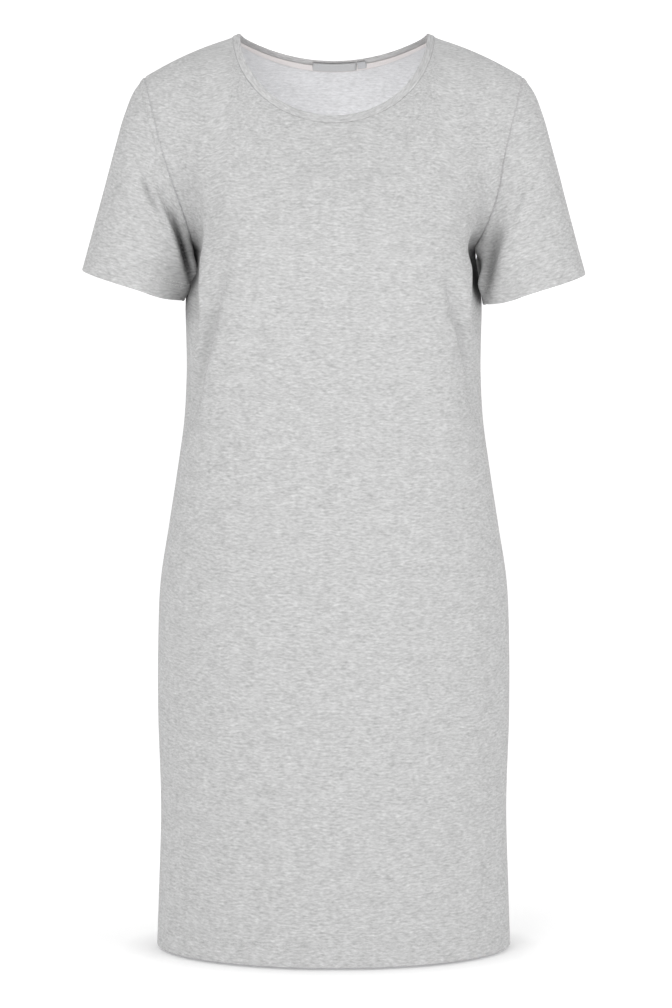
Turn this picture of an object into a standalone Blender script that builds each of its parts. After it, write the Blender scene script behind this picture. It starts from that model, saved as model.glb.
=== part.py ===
"""T-shirt dress in cotton jersey, filled out as if worn.

Eight pieces, each a closed solid wall: front, back, two sleeves, a neckband, and inside the back neck
a tape and two labels. The frame is metres, +Z up, with the front facing -Y and the wearer's left at +X.
The origin lies midway between the two high shoulder points, where the wearer's shoulders hold the dress.

Every piece is a grid of points worked out from the sizes below: an outer sheet, and an inner sheet one
wall further in. Neighbouring pieces share the points of the seam between them, less a small gap.
"""

import math
from collections import namedtuple

import bmesh
import bpy
import numpy as np

MM = 0.001

# ---- driving sizes ------------------------------------------------------------------------------

LENGTH = 941 * MM               # high shoulder point down to the hem
ARMPIT_DROP = 220 * MM          # high shoulder point down to the armpit
SHOULDER_HALF_WIDTH = 193 * MM  # centre line out to the shoulder point
SHOULDER_DROP = 42 * MM
SHOULDER_SLOPE = 0.27           # fall over run where the seam leaves the neck; it steepens outwards
ARMHOLE_HALF_DEPTH = 52 * MM    # front to back, half of the armhole's oval
WAIST_DROP = 440 * MM           # the rows of the grid are closer together above here

NECK_HALF_WIDTH = 95.5 * MM     # the opening's edge
FRONT_NECK_DROP = 80 * MM
FRONT_NECK_SOFTNESS = 0.08      # rounds the front neckline where it goes over the shoulder
BACK_NECK_DROP = 26 * MM
BACK_NECK_POWER = 1.85          # how flat the back neckline is in its middle
BAND_OUT = 7.2 * MM             # the neckband seen from the front: its width at the shoulders
FRONT_BAND_DROP = 7.0 * MM      # at the centre front
BACK_BAND_DROP = 5.6 * MM       # and at the centre back, where it leans

WALL = 1.5 * MM                 # jersey
BAND_WALL = 2.1 * MM            # folded jersey
BAND_PROUD = 0.6 * MM           # the band stands this far out of the panels
BAND_HEIGHTS = (0.0, 0.4, 0.8, 0.95)     # shares of the band's width, from its seam to its edge
BAND_THICKNESS = (1.0, 1.0, 0.85, 0.35)  # shares of its wall there, for a rounded edge
TRIM_WALL = 1.0 * MM            # tape and labels
GAP = 0.3 * MM                  # between neighbouring pieces
TRIM_GAP = 0.5 * MM             # between the tape and the cloth that it lies on

TAPE_PAST_NECK = 1 * MM         # the tape's ends run on past the opening's edge
TAPE_ON_BAND = 1.0 * MM         # how far the tape reaches up over the neckband
TAPE_ON_BACK = 6.0 * MM         # and down over the back
MAIN_LABEL_WIDTH = 46 * MM
MAIN_LABEL_RIGHT_END = -22 * MM
LABEL_ON_BAND = 5.2 * MM
LABEL_ON_BACK = 5.2 * MM
SIZE_LABEL_WIDTH = 9 * MM
LABEL_SPACING = 1 * MM
SIZE_LABEL_ON_BACK = 4.2 * MM

# The body's level sections. Each is an oval: half its width, its depth to the front and to the back,
# and how square its front and back halves are (2 is an ellipse, more is squarer).
Section = namedtuple("Section", "drop half_width front back front_square back_square")
SECTIONS = [
    Section(drop=941, half_width=184.0, front=124, back=119, front_square=2.00, back_square=2.00),
    Section(drop=880, half_width=181.8, front=124, back=120, front_square=2.00, back_square=2.00),
    Section(drop=800, half_width=179.4, front=124, back=122, front_square=2.05, back_square=2.05),
    Section(drop=690, half_width=182.0, front=125, back=126, front_square=2.10, back_square=2.15),
    Section(drop=620, half_width=181.5, front=124, back=128, front_square=2.15, back_square=2.20),
    Section(drop=560, half_width=178.8, front=121, back=125, front_square=2.20, back_square=2.20),
    Section(drop=500, half_width=169.6, front=117, back=115, front_square=2.30, back_square=2.25),
    Section(drop=440, half_width=160.2, front=114, back=105, front_square=2.45, back_square=2.35),
    Section(drop=393, half_width=153.8, front=113, back=99, front_square=2.60, back_square=2.40),
    Section(drop=347, half_width=151.2, front=115, back=98, front_square=2.75, back_square=2.45),
    Section(drop=300, half_width=150.7, front=119, back=101, front_square=2.90, back_square=2.50),
    Section(drop=258, half_width=147.6, front=122, back=104, front_square=2.90, back_square=2.50),
    Section(drop=220, half_width=145.5, front=121, back=106, front_square=2.80, back_square=2.45),
]

# The sleeve's lines over and under the arm, from the armhole (0) to the hem (1), seen from the front.
SleeveRow = namedtuple("SleeveRow", "along over_out over_drop under_out under_drop half_depth")
SLEEVE_ROWS = [
    SleeveRow(along=0.00, over_out=193.0, over_drop=42.0, under_out=145.5, under_drop=220.0, half_depth=52),
    SleeveRow(along=0.08, over_out=203.5, over_drop=56.0, under_out=147.0, under_drop=224.0, half_depth=54),
    SleeveRow(along=0.20, over_out=212.8, over_drop=78.0, under_out=148.6, under_drop=230.0, half_depth=57),
    SleeveRow(along=0.40, over_out=223.4, over_drop=114.0, under_out=149.4, under_drop=240.0, half_depth=60),
    SleeveRow(along=0.70, over_out=240.4, over_drop=176.0, under_out=150.4, under_drop=255.0, half_depth=59),
    SleeveRow(along=1.00, over_out=258.0, over_drop=239.0, under_out=153.0, under_drop=270.0, half_depth=57),
]
SLEEVE_SQUARE = 2.2
LEFT_SLEEVE_LOWER = 3 * MM      # the left sleeve hangs this much lower at its hem

# Folds: a soft trough (negative depth) or ridge (positive) along a curve through three places, each
# out from the centre line (+ is the wearer's left) and down from the shoulder, seen from the front.
Fold = namedtuple("Fold", "out1 drop1 out2 drop2 out3 drop3 width depth")
FRONT_FOLDS = [
    # from the bust's sides down to the waist
    Fold(out1=-104, drop1=196, out2=-128, drop2=320, out3=-153, drop3=430, width=11, depth=-7),
    Fold(out1=-138, drop1=205, out2=-139, drop2=262, out3=-150, drop3=345, width=8, depth=4),
    Fold(out1=-96, drop1=260, out2=-112, drop2=372, out3=-140, drop3=470, width=13, depth=3),
    Fold(out1=106, drop1=236, out2=130, drop2=322, out3=152, drop3=412, width=11, depth=-7),
    Fold(out1=140, drop1=215, out2=143, drop2=270, out3=150, drop3=360, width=8, depth=4),
    Fold(out1=98, drop1=290, out2=118, drop2=382, out3=146, drop3=465, width=13, depth=3),
    # drag lines from the armholes
    Fold(out1=-176, drop1=120, out2=-150, drop2=168, out3=-124, drop3=206, width=9, depth=-3),
    Fold(out1=176, drop1=132, out2=154, drop2=178, out3=132, drop3=214, width=9, depth=-3),
    # long soft folds at the skirt's sides
    Fold(out1=166, drop1=590, out2=171, drop2=700, out3=174, drop3=860, width=9, depth=-4),
    Fold(out1=-170, drop1=640, out2=-168, drop2=760, out3=-174, drop3=890, width=9, depth=-3),
]
BACK_FOLDS = [
    Fold(out1=-98, drop1=230, out2=-118, drop2=330, out3=-146, drop3=425, width=13, depth=-6),
    Fold(out1=102, drop1=215, out2=124, drop2=318, out3=148, drop3=410, width=13, depth=-6),
    Fold(out1=-66, drop1=395, out2=-6, drop2=418, out3=58, drop3=402, width=16, depth=-5),
    Fold(out1=-84, drop1=440, out2=4, drop2=462, out3=88, drop3=446, width=16, depth=-4),
    Fold(out1=-172, drop1=118, out2=-146, drop2=166, out3=-118, drop3=202, width=11, depth=-4),
    Fold(out1=170, drop1=126, out2=148, drop2=172, out3=122, drop3=210, width=11, depth=-4),
    Fold(out1=-60, drop1=640, out2=-70, drop2=780, out3=-66, drop3=920, width=20, depth=-4),
    Fold(out1=74, drop1=660, out2=66, drop2=790, out3=76, drop3=930, width=20, depth=-4),
]
RIGHT_SLEEVE_FRONT_FOLDS = [
    Fold(out1=-171, drop1=168, out2=-161, drop2=205, out3=-152, drop3=262, width=5, depth=-8),
    Fold(out1=-206, drop1=98, out2=-189, drop2=156, out3=-174, drop3=200, width=9, depth=-4),
    Fold(out1=-180, drop1=150, out2=-171, drop2=182, out3=-166, drop3=225, width=6, depth=3),
]
LEFT_SLEEVE_FRONT_FOLDS = [
    Fold(out1=170, drop1=196, out2=166, drop2=224, out3=158, drop3=262, width=5, depth=-8),
    Fold(out1=205, drop1=104, out2=190, drop2=150, out3=178, drop3=196, width=9, depth=-3),
    Fold(out1=182, drop1=170, out2=176, drop2=202, out3=170, drop3=246, width=7, depth=3),
]
SLEEVE_BACK_FOLDS = [
    Fold(out1=172, drop1=160, out2=164, drop2=200, out3=154, drop3=258, width=6, depth=-7),
    Fold(out1=208, drop1=96, out2=196, drop2=150, out3=186, drop3=205, width=10, depth=-4),
]

# Two soft swellings on each panel: bust in front, shoulder blades behind.
Swelling = namedtuple("Swelling", "out drop radius depth")
BUST = Swelling(out=78, drop=232, radius=52, depth=5)
BLADES = Swelling(out=72, drop=150, radius=50, depth=4)

# How each panel leans back from the armpit's level to the shoulders: its tilt in degrees from level
# where it arrives, and how full the arc is (1 is an easy curve).
Arc = namedtuple("Arc", "centre_tilt shoulder_tilt fullness")

# How many grid steps each piece has.
COLUMNS = 28                    # side to side on each panel
SKIRT_ROWS = 13                 # hem to waist
WAIST_ROWS = 13                 # waist to armpit
CHEST_ROWS = 13                 # armpit to shoulder
SLEEVE_RINGS = 11
RING_CROWDING = 1.15            # over 1, the sleeve's rings are closer together at the armhole

FRONT = -1                      # the side of the frame that a panel lies on, along Y
BACK = 1
ARCS = {
    FRONT: Arc(centre_tilt=70, shoulder_tilt=20, fullness=0.95),
    BACK: Arc(centre_tilt=26, shoulder_tilt=14, fullness=1.12),
}
NECK_SHARE = 8 / 14             # the share of a panel's columns, out from the centre, that is neckline
NECK_AT = 0.5                   # where the neckline ends, as a share of the way out to the shoulder point
TILT_REACH = 0.7                # how far out, of 1, the panel's arc comes to its shoulder tilt
EDGE_POWER = 5                  # how late, going out, the chest's cloth is drawn to the armhole

FOLD_SAMPLES = 25               # places along each fold's curve
FOLD_END_POWER = 0.8            # under 1, a fold keeps its depth for longer before it dies away
PANEL_FADE = 0.12               # folds die away over this share of a panel next to its seams
UNDERARM_FADE = 2.2             # and on a sleeve within 1 / this of the lines over and under the arm
ARMHOLE_FADE = 0.06             # and over this share of its length next to the armhole

NEWTON_STEP = 1e-5
NEWTON_ROUNDS = 25
LOWEST_GUESS = 0.1
ROUNDING = 1e-9                 # two shares closer than this are the same
ALIKE = 0.2                     # two walls share their lean where the cosine between them is over this
NARROWEST = 0.4                 # a corner of a panel is pulled in as if it were no sharper than this
MERGE = 0.01 * MM
SHARP_DEGREES = 50

Cloth = namedtuple("Cloth", "name colour roughness")
JERSEY = Cloth(name="heather_jersey", colour=(0.60, 0.60, 0.60, 1.0), roughness=0.9)
TAPE = Cloth(name="beige_tape", colour=(0.62, 0.58, 0.57, 1.0), roughness=0.8)
LABEL = Cloth(name="grey_label", colour=(0.50, 0.50, 0.51, 1.0), roughness=0.6)


# ---- curves ---------------------------------------------------------------------------------------

def smooth_through(knots, values, at):
    """Values at the places `at` of a smooth curve through the knots."""
    knots = np.asarray(knots, dtype=float)
    values = np.asarray(values, dtype=float)
    slopes = np.gradient(values, knots)
    left = np.clip(np.searchsorted(knots, at, side="right") - 1, 0, len(knots) - 2)
    span = knots[left + 1] - knots[left]
    t = (at - knots[left]) / span
    start_part = (1 + 2 * t) * (1 - t) ** 2 * values[left] + t * (1 - t) ** 2 * span * slopes[left]
    end_part = t**2 * (3 - 2 * t) * values[left + 1] - t**2 * (1 - t) * span * slopes[left + 1]
    return start_part + end_part


def column_of(rows, name):
    return [getattr(row, name) for row in rows]


def unit(vectors):
    return vectors / np.linalg.norm(vectors, axis=-1, keepdims=True)


def points(x, y, z):
    return np.stack(np.broadcast_arrays(x, y, z), axis=-1).astype(float)


# ---- body -----------------------------------------------------------------------------------------

def section_point(side, u, drop):
    """A point of the body's oval: u runs -1 to 1 from side seam to side seam of a panel."""
    rows = SECTIONS[::-1]
    drops = column_of(rows, "drop")
    depth_name, square_name = ("front", "front_square") if side == FRONT else ("back", "back_square")
    half_width = smooth_through(drops, column_of(rows, "half_width"), drop / MM) * MM
    depth = smooth_through(drops, column_of(rows, depth_name), drop / MM) * MM
    square = smooth_through(drops, column_of(rows, square_name), drop / MM)
    angle = u * math.pi / 2
    across, ahead = np.sin(angle), np.cos(angle)
    radius = (np.abs(across / half_width) ** square + np.abs(ahead / depth) ** square) ** (-1 / square)
    return points(radius * across, side * radius * ahead, -drop)


def shoulder_line(x):
    """Height of the line over the shoulders, which runs on in an arch over the neck's opening."""
    out = np.abs(x)
    neck_end = NECK_HALF_WIDTH + BAND_OUT
    arch_height = SHOULDER_SLOPE / (2 * neck_end)
    arch = arch_height * (NECK_HALF_WIDTH**2 - out**2)
    seam_start = arch_height * (NECK_HALF_WIDTH**2 - neck_end**2)
    run = SHOULDER_HALF_WIDTH - neck_end
    steepening = (SHOULDER_DROP + seam_start) / run - SHOULDER_SLOPE
    share = (out - neck_end) / run
    seam = seam_start - run * (SHOULDER_SLOPE * share + steepening * share**2)
    return np.where(out <= neck_end, arch, seam)


def neck_curve(side, turn, outwards):
    """The neckline seen from the front, as x and z. turn runs -1 to 1 from one shoulder to the other;
    outwards is 0 on the opening's edge and 1 on the neckband's seam."""
    angle = turn * math.pi / 2
    level = np.maximum(np.cos(angle), 0)
    if side == FRONT:
        softness = FRONT_NECK_SOFTNESS
        fall = (np.sqrt(level**2 + softness**2) - softness) / (math.sqrt(1 + softness**2) - softness)
        drop = FRONT_NECK_DROP + FRONT_BAND_DROP * outwards
    else:
        fall = level**BACK_NECK_POWER
        drop = BACK_NECK_DROP + BACK_BAND_DROP * outwards
    end_out = NECK_HALF_WIDTH + BAND_OUT * outwards
    end_height = shoulder_line(end_out)
    return end_out * np.sin(angle), end_height - fall * (drop + end_height)


def armhole(side, u_sign, w):
    """The oval armhole, from the armpit (w = 0) over a panel's edge to the shoulder point (w = 1)."""
    turn = math.pi * (1 - w)
    middle_out = (SHOULDER_HALF_WIDTH + SECTIONS[-1].half_width * MM) / 2
    middle_drop = (SHOULDER_DROP + ARMPIT_DROP) / 2
    out = middle_out + (SHOULDER_HALF_WIDTH - middle_out) * np.cos(turn)
    drop = middle_drop - (ARMPIT_DROP - middle_drop) * np.cos(turn)
    return points(u_sign * out, side * ARMHOLE_HALF_DEPTH * np.sin(turn), -drop)


def shoulder_arc(side, u, s):
    """A point on the arc that rises from the armpit's level at u and leans back to the shoulder line."""
    step = 1 * MM
    low = section_point(side, u, ARMPIT_DROP)
    low_direction = (low - section_point(side, u, ARMPIT_DROP + step)) / step
    spread = (NECK_HALF_WIDTH + BAND_OUT) / SHOULDER_HALF_WIDTH
    evenness = (spread - NECK_AT**3) / (NECK_AT - NECK_AT**3)
    top_x = SHOULDER_HALF_WIDTH * (evenness * u + (1 - evenness) * u**3)
    high = points(top_x, 0.0, shoulder_line(top_x))
    arc = ARCS[side]
    outness = np.clip(np.abs(u) / TILT_REACH, 0, 1)
    outness = outness**2 * (3 - 2 * outness)
    tilt = np.radians(arc.centre_tilt + (arc.shoulder_tilt - arc.centre_tilt) * outness)
    high_direction = points(0.0, -side * np.cos(tilt), np.sin(tilt))
    length = arc.fullness * np.linalg.norm(high - low, axis=-1, keepdims=True)
    s = np.asarray(s, dtype=float)[..., None]
    return (
        (1 + 2 * s) * (1 - s) ** 2 * low
        + s * (1 - s) ** 2 * length * low_direction
        + s**2 * (3 - 2 * s) * high
        - s**2 * (1 - s) * length * high_direction
    )


def chest_point(side, u, s):
    """The smooth cloth above the armpit, drawn out at its sides to meet the armhole."""
    edge_sign = np.where(u < 0, -1.0, 1.0)
    to_armhole = armhole(side, edge_sign, s) - shoulder_arc(side, edge_sign, s)
    return shoulder_arc(side, u, s) + (np.abs(u) ** EDGE_POWER)[..., None] * to_armhole


def find_on_chest(side, x, z):
    """Where on the chest (u and s) a place seen from the front at x and z lies, by Newton's method."""
    x, z = np.asarray(x, dtype=float), np.asarray(z, dtype=float)
    u = x / SHOULDER_HALF_WIDTH
    s = np.clip((z + ARMPIT_DROP) / ARMPIT_DROP, LOWEST_GUESS, 1)
    for _ in range(NEWTON_ROUNDS):
        here = chest_point(side, u, s)
        by_u = (chest_point(side, u + NEWTON_STEP, s) - here) / NEWTON_STEP
        by_s = (chest_point(side, u, s + NEWTON_STEP) - here) / NEWTON_STEP
        miss_x, miss_z = here[..., 0] - x, here[..., 2] - z
        scale = by_u[..., 0] * by_s[..., 2] - by_s[..., 0] * by_u[..., 2]
        u = u - (miss_x * by_s[..., 2] - miss_z * by_s[..., 0]) / scale
        s = s - (miss_z * by_u[..., 0] - miss_x * by_u[..., 2]) / scale
    return u, s


def neck_place(side, turn, outwards):
    return find_on_chest(side, *neck_curve(side, turn, outwards))


def top_places(side, column):
    """Where on the chest each column ends: on the neckline's seam, or on the shoulder seam. column
    runs -1 to 1 across the panel."""
    out = np.abs(column)
    turn = np.sign(column) * np.clip(out / NECK_SHARE, 0, 1)
    neck_u, neck_s = neck_place(side, turn, 1.0)
    shoulder_u = np.sign(column) * (NECK_AT + (1 - NECK_AT) * (out - NECK_SHARE) / (1 - NECK_SHARE))
    on_neck = out < NECK_SHARE - ROUNDING
    return np.where(on_neck, neck_u, shoulder_u), np.where(on_neck, neck_s, 1.0)


def panel_sheet(side, column, level):
    """The panel's smooth outer sheet, for a grid of columns (-1 to 1, side seam to side seam) and
    levels (-1 to 0 from hem to armpit, and on to 1 at the top)."""
    drop = ARMPIT_DROP - np.minimum(level, 0) * (LENGTH - ARMPIT_DROP)
    below = section_point(side, column, drop)
    w = np.clip(level, 0, 1)
    top_u, top_s = top_places(side, column[0])
    above = chest_point(side, column + (top_u - column) * w**2, w * top_s)
    return np.where((level <= 0)[..., None], below, above)


def panel_levels():
    """The levels of the panel's rows, closer together where the folds are."""
    waist = -(WAIST_DROP - ARMPIT_DROP) / (LENGTH - ARMPIT_DROP)
    skirt = np.linspace(-1, waist, SKIRT_ROWS + 1)[:-1]
    torso = np.linspace(waist, 0, WAIST_ROWS + 1)[:-1]
    return np.concatenate([skirt, torso, np.linspace(0, 1, CHEST_ROWS + 1)])


# ---- folds and swellings ----------------------------------------------------------------------------

def fold_push(folds, x, z):
    """How far the cloth stands out at each place, from every fold's soft trough or ridge."""
    push = np.zeros_like(x)
    t = np.linspace(0, 1, FOLD_SAMPLES)
    strength = np.sin(np.pi * t) ** FOLD_END_POWER
    for fold in folds:
        path_x = curve_through(fold.out1, fold.out2, fold.out3, t) * MM
        path_z = -curve_through(fold.drop1, fold.drop2, fold.drop3, t) * MM
        distance = np.hypot(x[..., None] - path_x, z[..., None] - path_z)
        nearness = strength * np.exp(-0.5 * (distance / (fold.width * MM)) ** 2)
        push += fold.depth * MM * nearness.max(axis=-1)
    return push


def curve_through(start, middle, end, t):
    """A parabola that is at start, middle and end where t is 0, 0.5 and 1."""
    control = 2 * middle - (start + end) / 2
    return (1 - t) ** 2 * start + 2 * t * (1 - t) * control + t**2 * end


def swelling_push(swelling, x, z):
    distance = np.hypot(np.abs(x) - swelling.out * MM, z + swelling.drop * MM)
    return swelling.depth * MM * np.exp(-0.5 * (distance / (swelling.radius * MM)) ** 2)


def grid_normals(sheet, sign):
    across = np.gradient(sheet, axis=1)
    up = np.gradient(sheet, axis=0)
    return sign * unit(np.cross(across, up))


def panel_grid(side):
    """The panel's outer points, folds and all, as rows from the hem up."""
    column, level = np.meshgrid(np.linspace(-1, 1, COLUMNS + 1), panel_levels())
    sheet = panel_sheet(side, column, level)
    normals = grid_normals(sheet, -side)
    x, z = sheet[..., 0], sheet[..., 2]
    if side == FRONT:
        push = fold_push(FRONT_FOLDS, x, z) + swelling_push(BUST, x, z)
    else:
        push = fold_push(BACK_FOLDS, x, z) + swelling_push(BLADES, x, z)
    edge_fade = np.clip((1 - np.abs(column)) / PANEL_FADE, 0, 1)
    top_fade = np.clip((1 - level) / PANEL_FADE, 0, 1)
    return sheet + normals * (push * edge_fade * top_fade)[..., None]


# ---- sleeves ------------------------------------------------------------------------------------------

def sleeve_grid(hand, front_folds, back_folds, lower=0.0):
    """A sleeve's outer points: rows from the armhole to the hem, columns once round from the armpit,
    over the front. hand is -1 for the wearer's right sleeve and 1 for the left."""
    steps = 2 * CHEST_ROWS
    ring_places = np.linspace(0, 1, SLEEVE_RINGS + 1) ** RING_CROWDING
    turn, along = np.meshgrid(np.linspace(0, 2 * math.pi, steps + 1), ring_places)
    knots = column_of(SLEEVE_ROWS, "along")
    over_out, over_drop, under_out, under_drop, half_depth = (
        smooth_through(knots, column_of(SLEEVE_ROWS, name), along) * MM for name in SleeveRow._fields[1:]
    )
    # The armhole is a plain oval, and the rings grow squarer towards the hem.
    square = 2 + (SLEEVE_SQUARE - 2) * along
    lengthwise = -np.cos(turn)
    crosswise = -np.sin(turn)
    plump = (np.abs(lengthwise) ** square + np.abs(crosswise) ** square) ** (-1 / square)
    middle_out, reach_out = (over_out + under_out) / 2, (over_out - under_out) / 2
    middle_drop, reach_drop = (over_drop + under_drop) / 2, (over_drop - under_drop) / 2
    out = middle_out + reach_out * lengthwise * plump
    drop = middle_drop + reach_drop * lengthwise * plump + lower * along**2
    y = half_depth * crosswise * plump
    sheet = points(hand * out, y, -drop)
    normals = tube_normals(sheet, -hand)
    ease = np.clip(np.abs(np.sin(turn)) * UNDERARM_FADE, 0, 1) * np.clip(along / ARMHOLE_FADE, 0, 1)
    front_push = fold_push(front_folds, sheet[..., 0], sheet[..., 2])
    back_push = fold_push(back_folds, np.abs(sheet[..., 0]), sheet[..., 2])
    push = np.where(y < 0, front_push, back_push) * ease
    return sheet + normals * push[..., None]


# ---- walls ------------------------------------------------------------------------------------------

def dress_walls():
    """Outer and inner grids of the panels, sleeves and neckband. Where two pieces meet, both walls lean
    the same way, so that their edges face each other across an even gap."""
    sheets = {"front": panel_grid(FRONT), "back": panel_grid(BACK), "band": neckband_grid()}
    sheets["right"] = sleeve_grid(-1, RIGHT_SLEEVE_FRONT_FOLDS, SLEEVE_BACK_FOLDS)
    sheets["left"] = sleeve_grid(1, LEFT_SLEEVE_FRONT_FOLDS, SLEEVE_BACK_FOLDS, LEFT_SLEEVE_LOWER)
    normals = {"front": grid_normals(sheets["front"], 1), "back": grid_normals(sheets["back"], -1)}
    for name, sign in (("band", 1), ("right", 1), ("left", -1)):
        normals[name] = tube_normals(sheets[name], sign)
    front, back, band = normals["front"], normals["back"], normals["band"]

    armpit_row = len(front) - 1 - CHEST_ROWS
    middle = COLUMNS // 2
    reach = int(round(NECK_SHARE * middle))
    on_neck = slice(middle - reach, middle + reach + 1)
    for edge in (0, -1):
        share(front[:armpit_row + 1, edge], back[:armpit_row + 1, edge])
    share(front[-1], back[-1])
    share(front[-1, on_neck], band[0, :2 * reach + 1])
    share(back[-1, on_neck], band[0, 2 * reach:][::-1])
    for neck_end, band_column in ((middle - reach, 0), (middle + reach, 2 * reach)):
        corner = unit(front[-1, neck_end] + back[-1, neck_end] + band[0, band_column])
        front[-1, neck_end] = back[-1, neck_end] = band[0, band_column] = corner
    band[0, -1] = band[0, 0]

    for name, edge in (("right", 0), ("left", -1)):
        around_front, around_back = front[armpit_row:, edge], back[armpit_row:, edge]
        share(around_front, normals[name][0, :CHEST_ROWS + 1])
        share(around_back, normals[name][0, CHEST_ROWS:][::-1])

    walls = {"band": band_wall(sheets["band"], band)}
    for name, side in (("front", FRONT), ("back", BACK)):
        trimmed = pull_in_edges(sheets[name], normals[name], -side)
        walls[name] = (trimmed, trimmed - WALL * normals[name])
    for name, hand in (("right", -1), ("left", 1)):
        armhole_run = SHOULDER_HALF_WIDTH - SECTIONS[-1].half_width * MM
        axis = unit(np.array([hand * (ARMPIT_DROP - SHOULDER_DROP), 0, -armhole_run]))
        sheet = sheets[name] + GAP * axis
        walls[name] = (sheet, sheet - WALL * normals[name])
    return walls


def share(normals, other_normals):
    """Gives both sides of a seam the direction midway between them, unless they face each other."""
    alike = np.sum(normals * other_normals, axis=-1, keepdims=True) > ALIKE
    midway = unit(normals + other_normals)
    normals[:] = np.where(alike, midway, normals)
    other_normals[:] = np.where(alike, midway, other_normals)


def tube_normals(sheet, sign):
    """Normals of a closed tube's grid, the same on its first and last columns."""
    wrapped = np.concatenate([sheet[:, -2:-1], sheet, sheet[:, 1:2]], axis=1)
    return grid_normals(wrapped, sign)[:, 1:-1]


def pull_in_edges(sheet, normals, sign):
    """Moves a panel's side and top edges half a gap in, square to each edge."""
    path = [(row, 0) for row in range(len(sheet))]
    path += [(-1, column) for column in range(1, sheet.shape[1])]
    path += [(row, -1) for row in range(len(sheet) - 2, -1, -1)]
    rows, columns = np.array(path).T
    places, facing = sheet[rows, columns], normals[rows, columns]
    along = unit(np.diff(places, axis=0))
    before = np.concatenate([along[:1], along])
    after = np.concatenate([along, along[-1:]])
    inward_before = sign * unit(np.cross(before, facing))
    inward_after = sign * unit(np.cross(after, facing))
    opening = 1 + np.sum(inward_before * inward_after, axis=-1, keepdims=True)
    trimmed = sheet.copy()
    trimmed[rows, columns] += GAP / 2 * (inward_before + inward_after) / np.maximum(opening, NARROWEST)
    return trimmed


# ---- neckband, tape and labels ------------------------------------------------------------------------

def neckband_grid():
    """The neckband's sheet: rings from the seam to the opening's edge, once round from the right."""
    columns = np.linspace(-1, 1, COLUMNS + 1)
    turns = columns[np.abs(columns) <= NECK_SHARE + ROUNDING] / NECK_SHARE
    rings = []
    for outwards in 1 - np.array(BAND_HEIGHTS):
        front_half = chest_point(FRONT, *neck_place(FRONT, turns, outwards))
        back_half = chest_point(BACK, *neck_place(BACK, turns[::-1], outwards))
        rings.append(np.concatenate([front_half, back_half[1:]]))
    return np.stack(rings)


def band_wall(sheet, normals):
    """The neckband's wall, which stands a little proud of the panels and thins to a rounded edge."""
    sheet = sheet.copy()
    sheet[0] += GAP / 2 * unit(sheet[1] - sheet[0])
    thickness = BAND_WALL * np.array(BAND_THICKNESS)[:, None, None]
    outer = sheet + normals * (BAND_PROUD - (BAND_WALL - thickness) / 2)
    return outer, outer - normals * thickness


def neck_strip(back_wall, band_wall, start_x, end_x, on_band, on_back, depth):
    """Outer and inner grids of a strip inside the back neck. It is made from the inner points of the
    back panel and the neckband, moved `depth` further in, and it crosses the seam between them."""
    back_inner, band_inner = back_wall[1], band_wall[1]
    middle = COLUMNS // 2
    reach = int(round(NECK_SHARE * middle))
    on_neck = slice(middle - reach, middle + reach + 1)
    seam_below, cloth_below = back_inner[-1, on_neck], back_inner[-2, on_neck]
    back_half = slice(2 * reach, None)
    seam_above, band_above = band_inner[0, back_half][::-1], band_inner[2, back_half][::-1]
    seam = (seam_below + seam_above) / 2
    sheet = np.stack([
        seam + on_back * unit(cloth_below - seam_below),
        seam,
        seam + on_band * unit(band_above - seam_above),
    ])
    normals = grid_normals(sheet, -1)
    column_x = seam[:, 0]
    inside = column_x[(column_x > start_x) & (column_x < end_x)]
    strip_x = np.concatenate([[start_x], inside, [end_x]])
    sheet, normals = (
        np.stack([[np.interp(strip_x, column_x, row[:, axis]) for axis in range(3)] for row in grid])
        .transpose(0, 2, 1) for grid in (sheet, normals)
    )
    return sheet - depth * normals, sheet - (depth + TRIM_WALL) * normals


# ---- Blender objects ------------------------------------------------------------------------------------

def clear_scene():
    for thing in list(bpy.data.objects):
        bpy.data.objects.remove(thing, do_unlink=True)


def cloth_material(cloth):
    material = bpy.data.materials.new(cloth.name)
    material.use_nodes = True
    shader = material.node_tree.nodes["Principled BSDF"]
    shader.inputs["Base Color"].default_value = cloth.colour
    shader.inputs["Roughness"].default_value = cloth.roughness
    shader.inputs["Metallic"].default_value = 0.0
    return material


def cloth_wall(name, sheets, material, closed=False):
    """A closed wall between an outer and an inner grid of points. closed joins the first and last
    columns, which makes the grid a tube."""
    outer, inner = sheets
    rows, columns = outer.shape[:2]
    wall = bmesh.new()
    place = wall.verts.layers.int.new("place")
    bmesh.ops.create_grid(wall, x_segments=columns - 1, y_segments=rows - 1, size=1)
    outer_points, inner_points = outer.reshape(-1, 3), inner.reshape(-1, 3)
    for number, vertex in enumerate(wall.verts):
        vertex[place] = number
        vertex.co = outer_points[number]
    if closed:
        bmesh.ops.remove_doubles(wall, verts=wall.verts, dist=MERGE)
    grown = bmesh.ops.extrude_face_region(wall, geom=wall.faces[:])
    for vertex in grown["geom"]:
        if isinstance(vertex, bmesh.types.BMVert):
            vertex.co = inner_points[vertex[place]]
    bmesh.ops.recalc_face_normals(wall, faces=wall.faces)
    mesh = bpy.data.meshes.new(name)
    wall.to_mesh(mesh)
    wall.free()
    mesh.shade_smooth()
    mesh.set_sharp_from_angle(angle=math.radians(SHARP_DEGREES))
    mesh.materials.append(material)
    return bpy.data.objects.new(name, mesh)


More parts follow.
